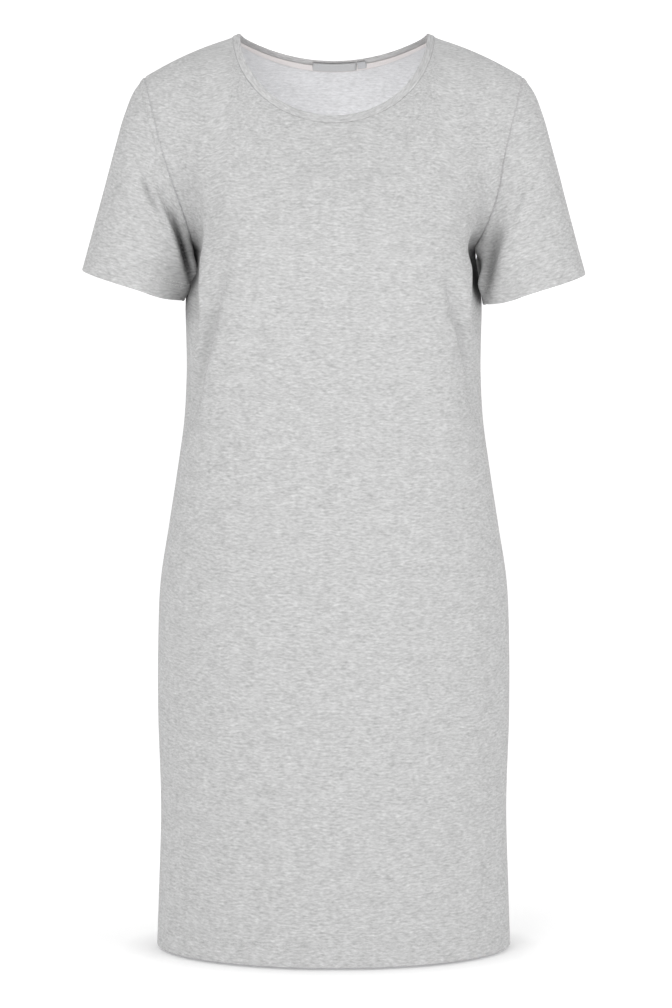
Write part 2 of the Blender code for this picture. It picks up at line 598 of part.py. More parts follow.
def build_dress():
    clear_scene()
    collection = bpy.data.collections.new("t_shirt_dress")
    bpy.context.scene.collection.children.link(collection)
    jersey, tape_cloth, label_cloth = (cloth_material(cloth) for cloth in (JERSEY, TAPE, LABEL))

    walls = dress_walls()
    neck = (walls["back"], walls["band"])
    behind_tape = TRIM_GAP + TRIM_WALL + GAP
    tape_half = NECK_HALF_WIDTH + TAPE_PAST_NECK
    main_label_end = MAIN_LABEL_RIGHT_END + MAIN_LABEL_WIDTH
    size_label_start = main_label_end + LABEL_SPACING
    size_label_end = size_label_start + SIZE_LABEL_WIDTH
    tape = neck_strip(*neck, -tape_half, tape_half, TAPE_ON_BAND, TAPE_ON_BACK, TRIM_GAP)
    main_label = neck_strip(
        *neck, MAIN_LABEL_RIGHT_END, main_label_end, LABEL_ON_BAND, LABEL_ON_BACK, behind_tape
    )
    size_label = neck_strip(
        *neck, size_label_start, size_label_end, LABEL_ON_BAND, SIZE_LABEL_ON_BACK, behind_tape
    )
    pieces = [
        cloth_wall("front_panel", walls["front"], jersey),
        cloth_wall("back_panel", walls["back"], jersey),
        cloth_wall("sleeve_right", walls["right"], jersey, closed=True),
        cloth_wall("sleeve_left", walls["left"], jersey, closed=True),
        cloth_wall("neckband", walls["band"], jersey, closed=True),
        cloth_wall("neck_tape", tape, tape_cloth),
        cloth_wall("main_label", main_label, label_cloth),
        cloth_wall("size_label", size_label, label_cloth),
    ]
    for piece in pieces:
        collection.objects.link(piece)
    return pieces


build_dress()
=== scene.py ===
# %% [markdown]
# # A heather-grey t-shirt dress, as sewn cloth
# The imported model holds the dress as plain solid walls: front, back, two sleeves, a neckband, a tape and
# two labels. This notebook makes each of them again as fine, thin cloth on the same form. It adds what
# makes cloth look like cloth: small creases, rolled seams, turned-up hems, stitches and knitted yarn.
# Every length is in metres, +Z is up and the front of the dress faces -Y.

# %% Load the plain model
import math
from collections import namedtuple

import bmesh
import bpy
import numpy as np
from mathutils import Matrix, Vector


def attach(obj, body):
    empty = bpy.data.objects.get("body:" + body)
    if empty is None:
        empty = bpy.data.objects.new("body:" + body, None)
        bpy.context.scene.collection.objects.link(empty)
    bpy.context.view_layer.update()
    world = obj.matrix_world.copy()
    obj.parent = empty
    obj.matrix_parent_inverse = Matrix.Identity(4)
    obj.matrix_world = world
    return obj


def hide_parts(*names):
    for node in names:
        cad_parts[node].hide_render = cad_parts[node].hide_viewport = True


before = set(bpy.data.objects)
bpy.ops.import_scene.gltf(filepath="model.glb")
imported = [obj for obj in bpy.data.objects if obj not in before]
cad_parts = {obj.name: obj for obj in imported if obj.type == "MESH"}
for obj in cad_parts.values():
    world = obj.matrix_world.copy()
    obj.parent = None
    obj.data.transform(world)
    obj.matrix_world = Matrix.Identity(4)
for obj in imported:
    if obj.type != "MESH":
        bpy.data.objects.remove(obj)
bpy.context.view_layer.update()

MM = 0.001
print("pieces in the plain model:", sorted(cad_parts))

# %% [markdown]
# ## The view
# A product shot of a dress is taken from well back with a long lens, so that the skirt and the shoulders
# are seen nearly level. The camera stands at the height of the neck, 4.5 m away, and tips down a little
# to centre the dress. Here the lens is worked out from the height of the sensor, not guessed.

# %% Placing an object
def add_object(name, data):
    placed = bpy.data.objects.new(name, data)
    bpy.context.scene.collection.objects.link(placed)
    return placed


# %% Camera
CAMERA_DISTANCE = 4.5
CAMERA_HEIGHT = 6 * MM
CAMERA_RIGHT = 2.4 * MM
CAMERA_TIP = 6.17            # degrees down from level
SENSOR_HEIGHT = 36.0         # millimetres, as camera makers state it
PICTURE_HEIGHTS_AWAY = 4387 / 1008   # the lens's distance, in picture heights

camera_data = bpy.data.cameras.new("camera")
camera_data.sensor_fit = "VERTICAL"
camera_data.sensor_height = SENSOR_HEIGHT
camera_data.lens = SENSOR_HEIGHT * PICTURE_HEIGHTS_AWAY
camera = add_object("camera", camera_data)
camera.location = (CAMERA_RIGHT, -CAMERA_DISTANCE, CAMERA_HEIGHT)
camera.rotation_euler = (math.radians(90 - CAMERA_TIP), 0, 0)
bpy.context.scene.camera = camera
print("lens, mm:", round(camera_data.lens, 1))

# %% [markdown]
# ## A pale floor that becomes a wall
# Studios use one wide sheet of paper that curves up behind the subject, so no horizon shows. In Blender
# this is a strip that is extruded backwards and then spun upwards through a quarter turn.

# %% Floor
FLOOR_DROP = 944 * MM
FLOOR_FRONT = -9.5
FLOOR_BACK = 9.5
SWEEP_RADIUS = 1.2
WALL_TOP = 2.6
FLOOR_HALF_WIDTH = 9.5
SWEEP_STEPS = 16

paper = bmesh.new()
front_left = paper.verts.new((-FLOOR_HALF_WIDTH, FLOOR_FRONT, -FLOOR_DROP))
front_right = paper.verts.new((FLOOR_HALF_WIDTH, FLOOR_FRONT, -FLOOR_DROP))
edge = paper.edges.new((front_left, front_right))


def first_edge(parts):
    """The edge among the parts that an operator returns."""
    return next(part for part in parts if isinstance(part, bmesh.types.BMEdge))


def mesh_from(name, shape):
    """A mesh with a bmesh's shape; the bmesh is freed."""
    mesh = bpy.data.meshes.new(name)
    shape.to_mesh(mesh)
    shape.free()
    return mesh


grown = bmesh.ops.extrude_edge_only(paper, edges=[edge])
edge = first_edge(grown["geom"])
bmesh.ops.translate(paper, verts=edge.verts, vec=(0, FLOOR_BACK - FLOOR_FRONT, 0))
turned = bmesh.ops.spin(
    paper, geom=[edge, *edge.verts], cent=(0, FLOOR_BACK, SWEEP_RADIUS - FLOOR_DROP), axis=(1, 0, 0),
    angle=math.radians(90), steps=SWEEP_STEPS,
)
edge = first_edge(turned["geom_last"])
grown = bmesh.ops.extrude_edge_only(paper, edges=[edge])
bmesh.ops.translate(paper, verts=first_edge(grown["geom"]).verts, vec=(0, 0, WALL_TOP))
bmesh.ops.recalc_face_normals(paper, faces=paper.faces)
floor_mesh = mesh_from("floor", paper)
floor_mesh.shade_smooth()
floor = add_object("floor", floor_mesh)
print("floor faces:", len(floor_mesh.polygons))

# %% [markdown]
# ## Glowing paper
# The paper glows a little, which brightens the hem from below; the glow is painted light. The Light Path
# node shows the camera less of that glow close to the dress, and least in an oval ring around the hem.
# That ring is a painted shadow: it darkens the floor round the hem on top of the real soft shadow there,
# which it lets show. The camera sees more of the glow further back, where the lamps don't reach. A
# material is a tree of nodes that are joined at their *sockets*, so a few functions come first that add
# one node each.

# %% Materials and nodes
SHEEN_ROUGHNESS = 0.5


def start_material(name, roughness, specular, sheen):
    """A new material, its nodes, and the sockets of its Principled shader."""
    material = bpy.data.materials.new(name)
    material.use_nodes = True
    surface = material.node_tree.nodes["Principled BSDF"].inputs
    surface["Roughness"].default_value = roughness
    surface["Specular IOR Level"].default_value = specular
    surface["Sheen Weight"].default_value = sheen
    surface["Sheen Roughness"].default_value = SHEEN_ROUGHNESS
    return material, material.node_tree, surface


def add_node(tree, kind, inputs=None, **settings):
    """Adds a node. Each of its inputs is given a value, or another node's socket to be linked to."""
    node = tree.nodes.new("ShaderNode" + kind)
    for setting, value in settings.items():
        setattr(node, setting, value)
    for name, source in (inputs or {}).items():
        if isinstance(source, bpy.types.NodeSocket):
            tree.links.new(source, node.inputs[name])
        else:
            node.inputs[name].default_value = source
    return node


def maths(tree, operation, first, second=0.0):
    return add_node(tree, "Math", {0: first, 1: second}, operation=operation).outputs["Value"]


def vector_maths(tree, operation, first, second=(0, 0, 0)):
    return add_node(tree, "VectorMath", {0: first, 1: second}, operation=operation).outputs


def split(tree, vector):
    return add_node(tree, "SeparateXYZ", {"Vector": vector}).outputs


def grey(level):
    return level, level, level, 1


print("a mid grey:", grey(0.5))

# %% The floor's paper
GLOW = 0.35
GLOW_SEEN_NEAR = 0.56         # the share that the camera sees at the dress
GLOW_CAST = 0.63              # the share that lights the dress
NEAR_ENDS = -0.05
FAR_STARTS = 0.4
RING_HALF_WIDTH, RING_HALF_DEPTH = 184 * MM, 126 * MM
RING_GLOW = 0.4               # the share of the glow that is left right at the hem
RING_ENDS = 1.2               # where the ring around the hem has faded, in half widths

floor_paint, paper_tree, paper_surface = start_material("studio_paper", 0.9, specular=0.1, sheen=0.0)
paper_surface["Base Color"].default_value = grey(0.92)
paper_surface["Emission Strength"].default_value = GLOW
paper_place = add_node(paper_tree, "TexCoord").outputs["Object"]
going_back = {
    "Value": split(paper_tree, paper_place)["Y"],
    "From Min": NEAR_ENDS, "From Max": FAR_STARTS, "To Min": GLOW_SEEN_NEAR,
}
glow_seen = add_node(paper_tree, "MapRange", going_back).outputs["Result"]
# The oval ring round the hem, where the camera sees less glow, is a painted shadow on the floor.
ring_scale = (1 / RING_HALF_WIDTH, 1 / RING_HALF_DEPTH, 0)
from_middle = vector_maths(paper_tree, "MULTIPLY", paper_place, ring_scale)["Vector"]
going_out = {
    "Value": vector_maths(paper_tree, "LENGTH", from_middle)["Value"],
    "From Min": 1.0, "From Max": RING_ENDS, "To Min": RING_GLOW,
}
ring = add_node(paper_tree, "MapRange", going_out).outputs["Result"]
glow = add_node(paper_tree, "Mix", {
    "Factor": add_node(paper_tree, "LightPath").outputs["Is Camera Ray"],
    "A": GLOW_CAST, "B": maths(paper_tree, "MULTIPLY", glow_seen, ring),
})
paper_tree.links.new(glow.outputs["Result"], paper_surface["Emission Color"])
floor_mesh.materials.append(floor_paint)
print("nodes in the paper:", len(paper_tree.nodes))

# %% [markdown]
# ## Light
# Grey jersey shows its form by very soft shading, so the light comes from broad panels. One stands high
# in front, a weaker one on the other side evens it out, and the white surroundings fill the rest. Two
# small ones inside the dress light the back of the neck and the floor within the hem. Area lamps point
# along their own -Z, so each is turned towards the dress with `to_track_quat`.

# %% Lamps
SURROUNDINGS = 0.755
Lamp = namedtuple("Lamp", "name place aim size watts")
LAMPS = [
    Lamp("front_panel_lamp", place=(-1.0, -2.15, 0.75), aim=(0, 0, -0.35), size=(1.4, 1.4), watts=20),
    Lamp("side_panel_lamp", place=(2.2, -2.0, 0.5), aim=(0, 0, -0.4), size=(1.4, 1.6), watts=18.5),
    Lamp("inside_lamp", place=(0.03, -0.02, -0.27), aim=(-0.01, 0.1, -0.04), size=(0.1, 0.1), watts=0.39),
    Lamp("skirt_lamp", place=(0, -0.03, -0.72), aim=(0, -0.04, -0.94), size=(0.2, 0.1), watts=0.11),
]


def hang_lamp(lamp):
    light = bpy.data.lights.new(lamp.name, "AREA")
    light.shape = "RECTANGLE"
    light.size, light.size_y = lamp.size
    light.energy = lamp.watts
    holder = add_object(lamp.name, light)
    holder.location = lamp.place
    holder.rotation_euler = (Vector(lamp.aim) - Vector(lamp.place)).to_track_quat("-Z", "Y").to_euler()
    holder.visible_camera = False


for lamp in LAMPS:
    hang_lamp(lamp)

world = bpy.data.worlds.new("studio")
bpy.context.scene.world = world
world.use_nodes = True
world.node_tree.nodes["Background"].inputs["Color"].default_value = grey(1)
world.node_tree.nodes["Background"].inputs["Strength"].default_value = SURROUNDINGS
bpy.context.scene.view_settings.view_transform = "Standard"
print("lamps:", [lamp.name for lamp in LAMPS])

# %% [markdown]
# ## The cut
# The dress follows from the sizes that a pattern cutter would measure: how long it is, how wide the
# shoulders are, how deep the neckline falls. The plain model was built from the same numbers, so cloth
# that is made from them lies exactly on it.

# %% Driving sizes
LENGTH = 941 * MM               # high shoulder point down to the hem
ARMPIT_DROP = 220 * MM
SHOULDER_HALF_WIDTH = 193 * MM
SHOULDER_DROP = 42 * MM
SHOULDER_SLOPE = 0.27
ARMHOLE_HALF_DEPTH = 52 * MM

NECK_HALF_WIDTH = 95.5 * MM
FRONT_NECK_DROP = 80 * MM
FRONT_NECK_SOFTNESS = 0.08
BACK_NECK_DROP = 26 * MM
BACK_NECK_POWER = 1.85
BAND_OUT = 7.2 * MM             # the neckband's width at the shoulders, seen from the front
FRONT_BAND_DROP = 7.0 * MM
BACK_BAND_DROP = 5.6 * MM

JERSEY_THICKNESS = 1.1 * MM
BAND_THICKNESS = 1.6 * MM       # jersey folded over its own seam allowance
BAND_PROUD = 0.6 * MM
SEAM_GAP = 0.06 * MM
print("dress length:", LENGTH, "shoulder width:", 2 * SHOULDER_HALF_WIDTH)

# %% [markdown]
# Level sections give the body its form. Each is a *superellipse*: an ellipse whose corners fill out as
# its power rises above 2. A row says how far down it lies and how wide and deep it is, in millimetres. The
# rows are lines of text, which are easy to read and change, and `table` names their columns.

# %% The body's sections
def table(text):
    """Rows with named columns, from lines of numbers whose first line names the columns."""
    names, *rows = (line.split() for line in text.strip().splitlines())
    Row = namedtuple("Row", names)
    return [Row(*(float(number) for number in row)) for row in rows]


SECTIONS = table("""
    drop half_width front back front_square back_square
     941      184.0   124  119         2.00        2.00
     880      181.8   124  120         2.00        2.00
     800      179.4   124  122         2.05        2.05
     690      182.0   125  126         2.10        2.15
     620      181.5   124  128         2.15        2.20
     560      178.8   121  125         2.20        2.20
     500      169.6   117  115         2.30        2.25
     440      160.2   114  105         2.45        2.35
     393      153.8   113   99         2.60        2.40
     347      151.2   115   98         2.75        2.45
     300      150.7   119  101         2.90        2.50
     258      147.6   122  104         2.90        2.50
     220      145.5   121  106         2.80        2.45
""")
print("body sections:", len(SECTIONS))

# %% [markdown]
# A sleeve is a tube that leaves the armhole and slopes down along the arm. Two lines describe it from
# the front: one over the arm and one under it. Each row gives both, from the armhole to the hem.

# %% The sleeve's lines
SLEEVE_ROWS = table("""
    along over_out over_drop under_out under_drop half_depth
     0.00    193.0      42.0     145.5      220.0         52
     0.08    203.5      56.0     147.0      224.0         54
     0.20    212.8      78.0     148.6      230.0         57
     0.40    223.4     114.0     149.4      240.0         60
     0.70    240.4     176.0     150.4      255.0         59
     1.00    258.0     239.0     153.0      270.0         57
""")
SLEEVE_SQUARE = 2.2
LEFT_SLEEVE_LOWER = 4 * MM
print("sleeve rows:", len(SLEEVE_ROWS))

# %% [markdown]
# ## Folds
# Cloth simulation could drape the dress, but a garment on show has a few folds in known places, and
# those are easier to place one by one. Each fold is a soft trough or ridge along a curve through three
# places. The first tables hold the large folds, most of which the plain model shows too. Their sizes are
# in millimetres.

# %% Large folds
FRONT_FOLDS = table("""
    out1 drop1 out2 drop2 out3 drop3 width depth
    -108   196 -133   320 -158   430    11    -5
    -138   205 -139   262 -150   345     8     4
    -100   260 -120   372 -149   470    13     3
     113   236  137   322  159   412    11    -5
     140   215  143   270  150   360     8     4
      98   290  118   382  146   465    13     3
    -176   120 -150   168 -124   206     9    -3
     176   132  154   178  132   214     9    -3
     166   590  171   700  174   860     9    -4
    -170   640 -168   760 -174   890     9    -3
""")
BACK_FOLDS = table("""
    out1 drop1 out2 drop2 out3 drop3 width depth
     -98   230 -118   330 -146   425    13    -6
     102   215  124   318  148   410    13    -6
     -66   395   -6   418   58   402    16    -5
     -84   440    4   462   88   446    16    -4
    -172   118 -146   166 -118   202    11    -4
     170   126  148   172  122   210    11    -4
     -60   640  -70   780  -66   920    20    -4
      74   660   66   790   76   930    20    -4
""")
RIGHT_SLEEVE_FRONT_FOLDS = table("""
    out1 drop1   out2 drop2 out3 drop3 width depth
    -180   142 -159.5   200 -140   262   2.8    -9
    -206    98   -189   156 -174   200     9    -4
    -188   150   -167   200 -150   262     4     3
""")
LEFT_SLEEVE_FRONT_FOLDS = table("""
    out1 drop1  out2 drop2 out3 drop3 width depth
     168   192 156.5   230  149   276     5    -9
     205   104   190   150  178   196     9    -3
     182   170   176   202  170   246     7     3
""")
SLEEVE_BACK_FOLDS = table("""
    out1 drop1 out2 drop2 out3 drop3 width depth
     172   160  164   200  154   258     6    -7
     208    96  196   150  186   205    10    -4
""")
print("large folds on the panels:", len(FRONT_FOLDS) + len(BACK_FOLDS))

# %% [markdown]
# Small creases are a millimetre or two deep. They catch the light across a width of a few centimetres,
# and they keep the cloth from looking like painted metal. They are placed unevenly on purpose.

# %% Small creases
FRONT_CREASES = table("""
    out1 drop1   out2 drop2 out3 drop3 width depth
    -134   176 -133.5   225 -129   286     3   2.6
    -131   242   -138   306 -160   390   3.6     5
    -108   225   -129   312 -157   412     4    -7
     -99   235   -120   312 -148   418   4.5   3.6
     127   235  138.5   300  152   376     3   4.2
     110   238    131   300  150   370     4  -6.2
     101   238    122   300  143   370   4.5   3.2
     162   570    168   662  168   755     3   1.6
    -167   770   -169   856 -170   945   2.5   1.3
    -159   800   -161   870 -162   945     5  -1.4
     -72   664    -41   661  -10   665     5  -1.2
     -76   565    -49   569  -22   565     5  -1.2
     100   551    121   565  141   580     6  -1.6
     -83   759    -67   769  -52   780     5  -1.2
      19   798     45   804   70   812     5  -1.2
      31   718     58   700   85   684     5   1.2
     -60   300    -84   352 -112   420     9  -1.4
      62   330     88   392  116   450     9  -1.4
    -150   500   -128   530  -96   552     7  -1.4
    -166   560   -140   604 -112   634     8  -1.5
    -120    92   -104   128  -80   160    10  -1.2
     126    96    110   130   90   152    10  -1.2
""")
ARMPIT_TUCKS = table("""
      out1 drop1 out2 drop2 out3 drop3 width depth
    -139.5   190 -141   246 -145   312     4   -15
      -142   236 -141   304 -148   400   5.5    -6
     144.5   199  145   240  150   302   3.8   -15
       146   246  144   310  149   396     5    -5
""")
BACK_CREASES = table("""
    out1 drop1 out2 drop2 out3 drop3 width depth
     -92   360  -30   378   34   366     9  -2.2
     -40   484   24   498   90   482    10  -2.0
      96   120   70   160   40   190    12  -1.6
    -104   108  -82   150  -50   180    12  -1.6
    -150   520 -120   548  -84   560     9  -1.8
     152   540  126   566   92   580     9  -1.8
      20   700   50   716   84   708     8  -1.2
""")
RIGHT_SLEEVE_CREASES = table("""
    out1 drop1 out2 drop2 out3 drop3 width depth
    -197   136 -185   162 -173   190   2.6    -3
""")
LEFT_SLEEVE_CREASES = table("""
    out1 drop1 out2 drop2 out3 drop3 width depth
     196   138  184   166  174   196     3  -2.4
""")
SLEEVE_CREASES = table("""
    out1 drop1 out2 drop2 out3 drop3 width depth
     232   150  214   190  196   236     7  -1.6
     214    92  206   120  196   142     6  -1.2
     196   180  190   210  186   240     5   1.2
""")
print("small creases on the panels:", len(FRONT_CREASES) + len(BACK_CREASES))

# %% [markdown]
# Even where nothing pulls on it, jersey is never quite flat. A few long waves of about half a millimetre
# are added over everything. Their lengths are unlike each other, so the sum doesn't seem to repeat. The
# table gives lengths and heights in millimetres, and where each wave starts in turns.

# %% Slow waves
WAVES = table("""
    across down height start
       310   95   0.45  0.10
      -170  140   0.35  0.55
        90 -210   0.30  0.30
       -64   52   0.16  0.80
       120   38   0.14  0.25
""")


def wave_push(x, z):
    push = np.zeros_like(x)
    for wave in WAVES:
        turns = x / (wave.across * MM) + z / (wave.down * MM) + wave.start
        push += wave.height * MM * np.sin(2 * np.pi * turns)
    return push


print("waves:", len(WAVES))

# %% [markdown]
# ## Curves and grids
# The cloth is worked out as grids of points in `numpy`, which handles a whole grid in one line. A table's
# column becomes a smooth curve with `smooth_through`, which joins the rows by cubic arcs.

# %% Curve helpers
def smooth_through(knots, values, at):
    """Values at the places `at` of a smooth curve through the knots."""
    knots, values = np.array(knots), np.array(values)
    slopes = np.gradient(values, knots)
    left = np.clip(np.searchsorted(knots, at, side="right") - 1, 0, len(knots) - 2)
    span = knots[left + 1] - knots[left]
    t = (at - knots[left]) / span
    start_part = (1 + 2 * t) * (1 - t) ** 2 * values[left] + t * (1 - t) ** 2 * span * slopes[left]
    end_part = t**2 * (3 - 2 * t) * values[left + 1] - t**2 * (1 - t) * span * slopes[left + 1]
    return start_part + end_part


def read_columns(rows, names, at):
    """Smooth values of the named columns, where the rows' first column reaches `at`."""
    knots = [row[0] for row in rows]
    return [smooth_through(knots, [getattr(row, name) for row in rows], at) for name in names.split()]


def unit(vectors):
    return vectors / np.linalg.norm(vectors, axis=-1, keepdims=True)


def points(x, y, z):
    return np.stack(np.broadcast_arrays(x, y, z), axis=-1).astype(float)


def curve_through(start, middle, end, t):
    """A parabola that is at start, middle and end where t is 0, 0.5 and 1."""
    control = 2 * middle - (start + end) / 2
    return (1 - t) ** 2 * start + 2 * t * (1 - t) * control + t**2 * end


def soft_step(t):
    """0 up to t = 0 and 1 from t = 1, with a smooth rise between."""
    t = np.clip(t, 0, 1)
    return t * t * (3 - 2 * t)


def bell(distance, width):
    return np.exp(-((distance / width) ** 2))


print("a parabola's middle:", curve_through(0.0, 1.0, 0.0, 0.5))

# %% [markdown]
# The push of a fold at a place depends on how near its curve passes. A bell curve across the fold gives
# it soft sides, and its strength dies away towards both ends, as a real fold runs out into the cloth.

# %% Fold helpers
FOLD_SAMPLES = 31
FOLD_END_POWER = 0.8


def fold_nearness(fold, x, z):
    """1 on the middle of a fold's curve, falling to 0 away from it and towards its ends."""
    t = np.linspace(0, 1, FOLD_SAMPLES)
    strength = np.sin(np.pi * t) ** FOLD_END_POWER
    path_x = curve_through(fold.out1, fold.out2, fold.out3, t) * MM
    path_z = -curve_through(fold.drop1, fold.drop2, fold.drop3, t) * MM
    distance = np.hypot(x[..., None] - path_x, z[..., None] - path_z)
    return (strength * np.exp(-0.5 * (distance / (fold.width * MM)) ** 2)).max(axis=-1)


def fold_push(folds, x, z):
    """How far the cloth stands out at each place, from every fold's soft trough or ridge."""
    push = np.zeros_like(x)
    for fold in folds:
        push += fold.depth * MM * fold_nearness(fold, x, z)
    return push


BUST, BLADES = table("""
    out drop radius depth
     78  232     52     5
     72  150     50     4
""")


def swelling_push(swelling, x, z):
    distance = np.hypot(np.abs(x) - swelling.out * MM, z + swelling.drop * MM)
    return swelling.depth * MM * np.exp(-0.5 * (distance / (swelling.radius * MM)) ** 2)


first_fold = fold_push(FRONT_FOLDS[:1], np.array([-0.128]), np.array([-0.32]))
print("push in the middle of the first fold, mm:", (first_fold / MM).round(1))

# %% [markdown]
# Lengths along a grid's lines are needed again and again: for the cloth's own coordinates, for how far a
# point is from a seam, and for where the stitches go. `np.cumsum` adds up the steps between the points.

# %% Grid helpers
def lengths_along(sheet, axis):
    """Length from the grid's first line to each point, along rows (axis 1) or columns (axis 0)."""
    steps = np.linalg.norm(np.diff(sheet, axis=axis), axis=-1)
    start = np.zeros_like(np.take(steps, [0], axis=axis))
    return np.concatenate([start, np.cumsum(steps, axis=axis)], axis=axis)


def spans(sheet):
    return lengths_along(sheet, axis=1), lengths_along(sheet, axis=0)


def points_at(at, run, path):
    """Points at the distances `at` along a path whose own points lie at the distances `run`."""
    return np.stack([np.interp(at, run, path[:, axis]) for axis in range(3)], axis=-1)


def grid_normals(sheet, sign):
    return sign * unit(np.cross(np.gradient(sheet, axis=1), np.gradient(sheet, axis=0)))


def tube_normals(sheet, sign):
    """Normals of a closed tube's grid, the same on its first and last columns."""
    wrapped = np.concatenate([sheet[:, -2:-1], sheet, sheet[:, 1:2]], axis=1)
    return grid_normals(wrapped, sign)[:, 1:-1]


FRONT, BACK = -1, 1              # the side of the dress, along Y
print("a path's lengths:", lengths_along(np.array([[0.0, 0, 0], [3, 4, 0]]), axis=0))

# %% [markdown]
# ## The body
# Below the armpits the body is a tube of sections. A point on it is found by its direction from the
# middle: half a turn of directions makes the front, and the other half the back.

# %% Body tube
def section_point(side, u, drop):
    """A point of the body's oval: u runs -1 to 1 from side seam to side seam of a panel."""
    names = "half_width front front_square" if side == FRONT else "half_width back back_square"
    half_width, depth, square = read_columns(SECTIONS[::-1], names, drop / MM)
    angle = u * math.pi / 2
    across, ahead = np.sin(angle), np.cos(angle)
    wide, deep = np.abs(across / (half_width * MM)), np.abs(ahead / (depth * MM))
    radius = (wide**square + deep**square) ** (-1 / square)
    return points(radius * across, side * radius * ahead, -drop)


print("front of the waist, m:", section_point(FRONT, 0.0, 393 * MM).round(3))

# %% [markdown]
# Above the armpits the cloth leans back over the chest to the shoulder line, and its sides are drawn out
# to the armholes. Each column of the grid is one cubic arc, from the armpit's level up to the shoulder.

# %% Shoulders and chest
Arc = namedtuple("Arc", "centre_tilt shoulder_tilt fullness")
ARCS = {
    FRONT: Arc(centre_tilt=70, shoulder_tilt=20, fullness=0.95),
    BACK: Arc(centre_tilt=26, shoulder_tilt=14, fullness=1.12),
}
NECK_SHARE = 8 / 14             # the share of a panel's half width, in columns, that is neckline
NECK_AT = 0.5
TILT_REACH = 0.7
EDGE_POWER = 5


def shoulder_line(x):
    """Height of the line over the shoulders, which runs on in an arch over the neck's opening."""
    out = np.abs(x)
    neck_end = NECK_HALF_WIDTH + BAND_OUT
    arch_height = SHOULDER_SLOPE / (2 * neck_end)
    arch = arch_height * (NECK_HALF_WIDTH**2 - out**2)
    seam_start = arch_height * (NECK_HALF_WIDTH**2 - neck_end**2)
    run = SHOULDER_HALF_WIDTH - neck_end
    steepening = (SHOULDER_DROP + seam_start) / run - SHOULDER_SLOPE
    share_out = (out - neck_end) / run
    seam = seam_start - run * (SHOULDER_SLOPE * share_out + steepening * share_out**2)
    return np.where(out <= neck_end, arch, seam)


def armhole(side, u_sign, w):
    """The oval armhole, from the armpit (w = 0) over a panel's edge to the shoulder point (w = 1)."""
    turn = math.pi * (1 - w)
    middle_out = (SHOULDER_HALF_WIDTH + SECTIONS[-1].half_width * MM) / 2
    middle_drop = (SHOULDER_DROP + ARMPIT_DROP) / 2
    out = middle_out + (SHOULDER_HALF_WIDTH - middle_out) * np.cos(turn)
    drop = middle_drop - (ARMPIT_DROP - middle_drop) * np.cos(turn)
    return points(u_sign * out, side * ARMHOLE_HALF_DEPTH * np.sin(turn), -drop)


def shoulder_arc(side, u, s):
    """A point on the arc that rises from the armpit's level at u and leans back to the shoulder line."""
    step = 1 * MM
    low = section_point(side, u, ARMPIT_DROP)
    low_direction = (low - section_point(side, u, ARMPIT_DROP + step)) / step
    spread = (NECK_HALF_WIDTH + BAND_OUT) / SHOULDER_HALF_WIDTH
    evenness = (spread - NECK_AT**3) / (NECK_AT - NECK_AT**3)
    top_x = SHOULDER_HALF_WIDTH * (evenness * u + (1 - evenness) * u**3)
    high = points(top_x, 0.0, shoulder_line(top_x))
    arc = ARCS[side]
    tilt_share = soft_step(np.abs(u) / TILT_REACH)
    tilt = np.radians(arc.centre_tilt + (arc.shoulder_tilt - arc.centre_tilt) * tilt_share)
    high_direction = points(0.0, -side * np.cos(tilt), np.sin(tilt))
    length = arc.fullness * np.linalg.norm(high - low, axis=-1, keepdims=True)
    s = np.asarray(s, dtype=float)[..., None]
    return (
        (1 + 2 * s) * (1 - s) ** 2 * low
        + s * (1 - s) ** 2 * length * low_direction
        + s**2 * (3 - 2 * s) * high
        - s**2 * (1 - s) * length * high_direction
    )


def chest_point(side, u, s):
    """The smooth cloth above the armpit, drawn out at its sides to meet the armhole."""
    edge_sign = np.where(u < 0, -1.0, 1.0)
    to_armhole = armhole(side, edge_sign, s) - shoulder_arc(side, edge_sign, s)
    return shoulder_arc(side, u, s) + (np.abs(u) ** EDGE_POWER)[..., None] * to_armhole


print("shoulder point, m:", chest_point(FRONT, np.array(1.0), np.array(1.0)).round(3))

# %% [markdown]
# ## The neckline
# A neckline is drawn flat, as it is seen from the front, but it has to lie on the curved chest. Newton's
# method finds where: it takes a guess, measures the miss, and follows the surface's slope towards zero.

# %% Neckline on the chest
NEWTON_STEP = 1e-5
NEWTON_ROUNDS = 25
LOWEST_GUESS = 0.1
ROUNDING = 1e-9


def neck_curve(side, turn, outwards):
    """The neckline seen from the front, as x and z. turn runs -1 to 1 from one shoulder to the other;
    outwards is 0 on the opening's edge and 1 on the neckband's seam."""
    angle = turn * math.pi / 2
    level = np.maximum(np.cos(angle), 0)
    if side == FRONT:
        softness = FRONT_NECK_SOFTNESS
        fall = (np.sqrt(level**2 + softness**2) - softness) / (math.sqrt(1 + softness**2) - softness)
        drop = FRONT_NECK_DROP + FRONT_BAND_DROP * outwards
    else:
        fall = level**BACK_NECK_POWER
        drop = BACK_NECK_DROP + BACK_BAND_DROP * outwards
    end_out = NECK_HALF_WIDTH + BAND_OUT * outwards
    end_height = shoulder_line(end_out)
    return end_out * np.sin(angle), end_height - fall * (drop + end_height)


def find_on_chest(side, x, z):
    """Where on the chest (u and s) a place seen from the front at x and z lies, by Newton's method."""
    x, z = np.asarray(x, dtype=float), np.asarray(z, dtype=float)
    u = x / SHOULDER_HALF_WIDTH
    s = np.clip((z + ARMPIT_DROP) / ARMPIT_DROP, LOWEST_GUESS, 1)
    for _ in range(NEWTON_ROUNDS):
        here = chest_point(side, u, s)
        by_u = (chest_point(side, u + NEWTON_STEP, s) - here) / NEWTON_STEP
        by_s = (chest_point(side, u, s + NEWTON_STEP) - here) / NEWTON_STEP
        miss_x, miss_z = here[..., 0] - x, here[..., 2] - z
        scale = by_u[..., 0] * by_s[..., 2] - by_s[..., 0] * by_u[..., 2]
        u = u - (miss_x * by_s[..., 2] - miss_z * by_s[..., 0]) / scale
        s = s - (miss_z * by_u[..., 0] - miss_x * by_u[..., 2]) / scale
    return u, s


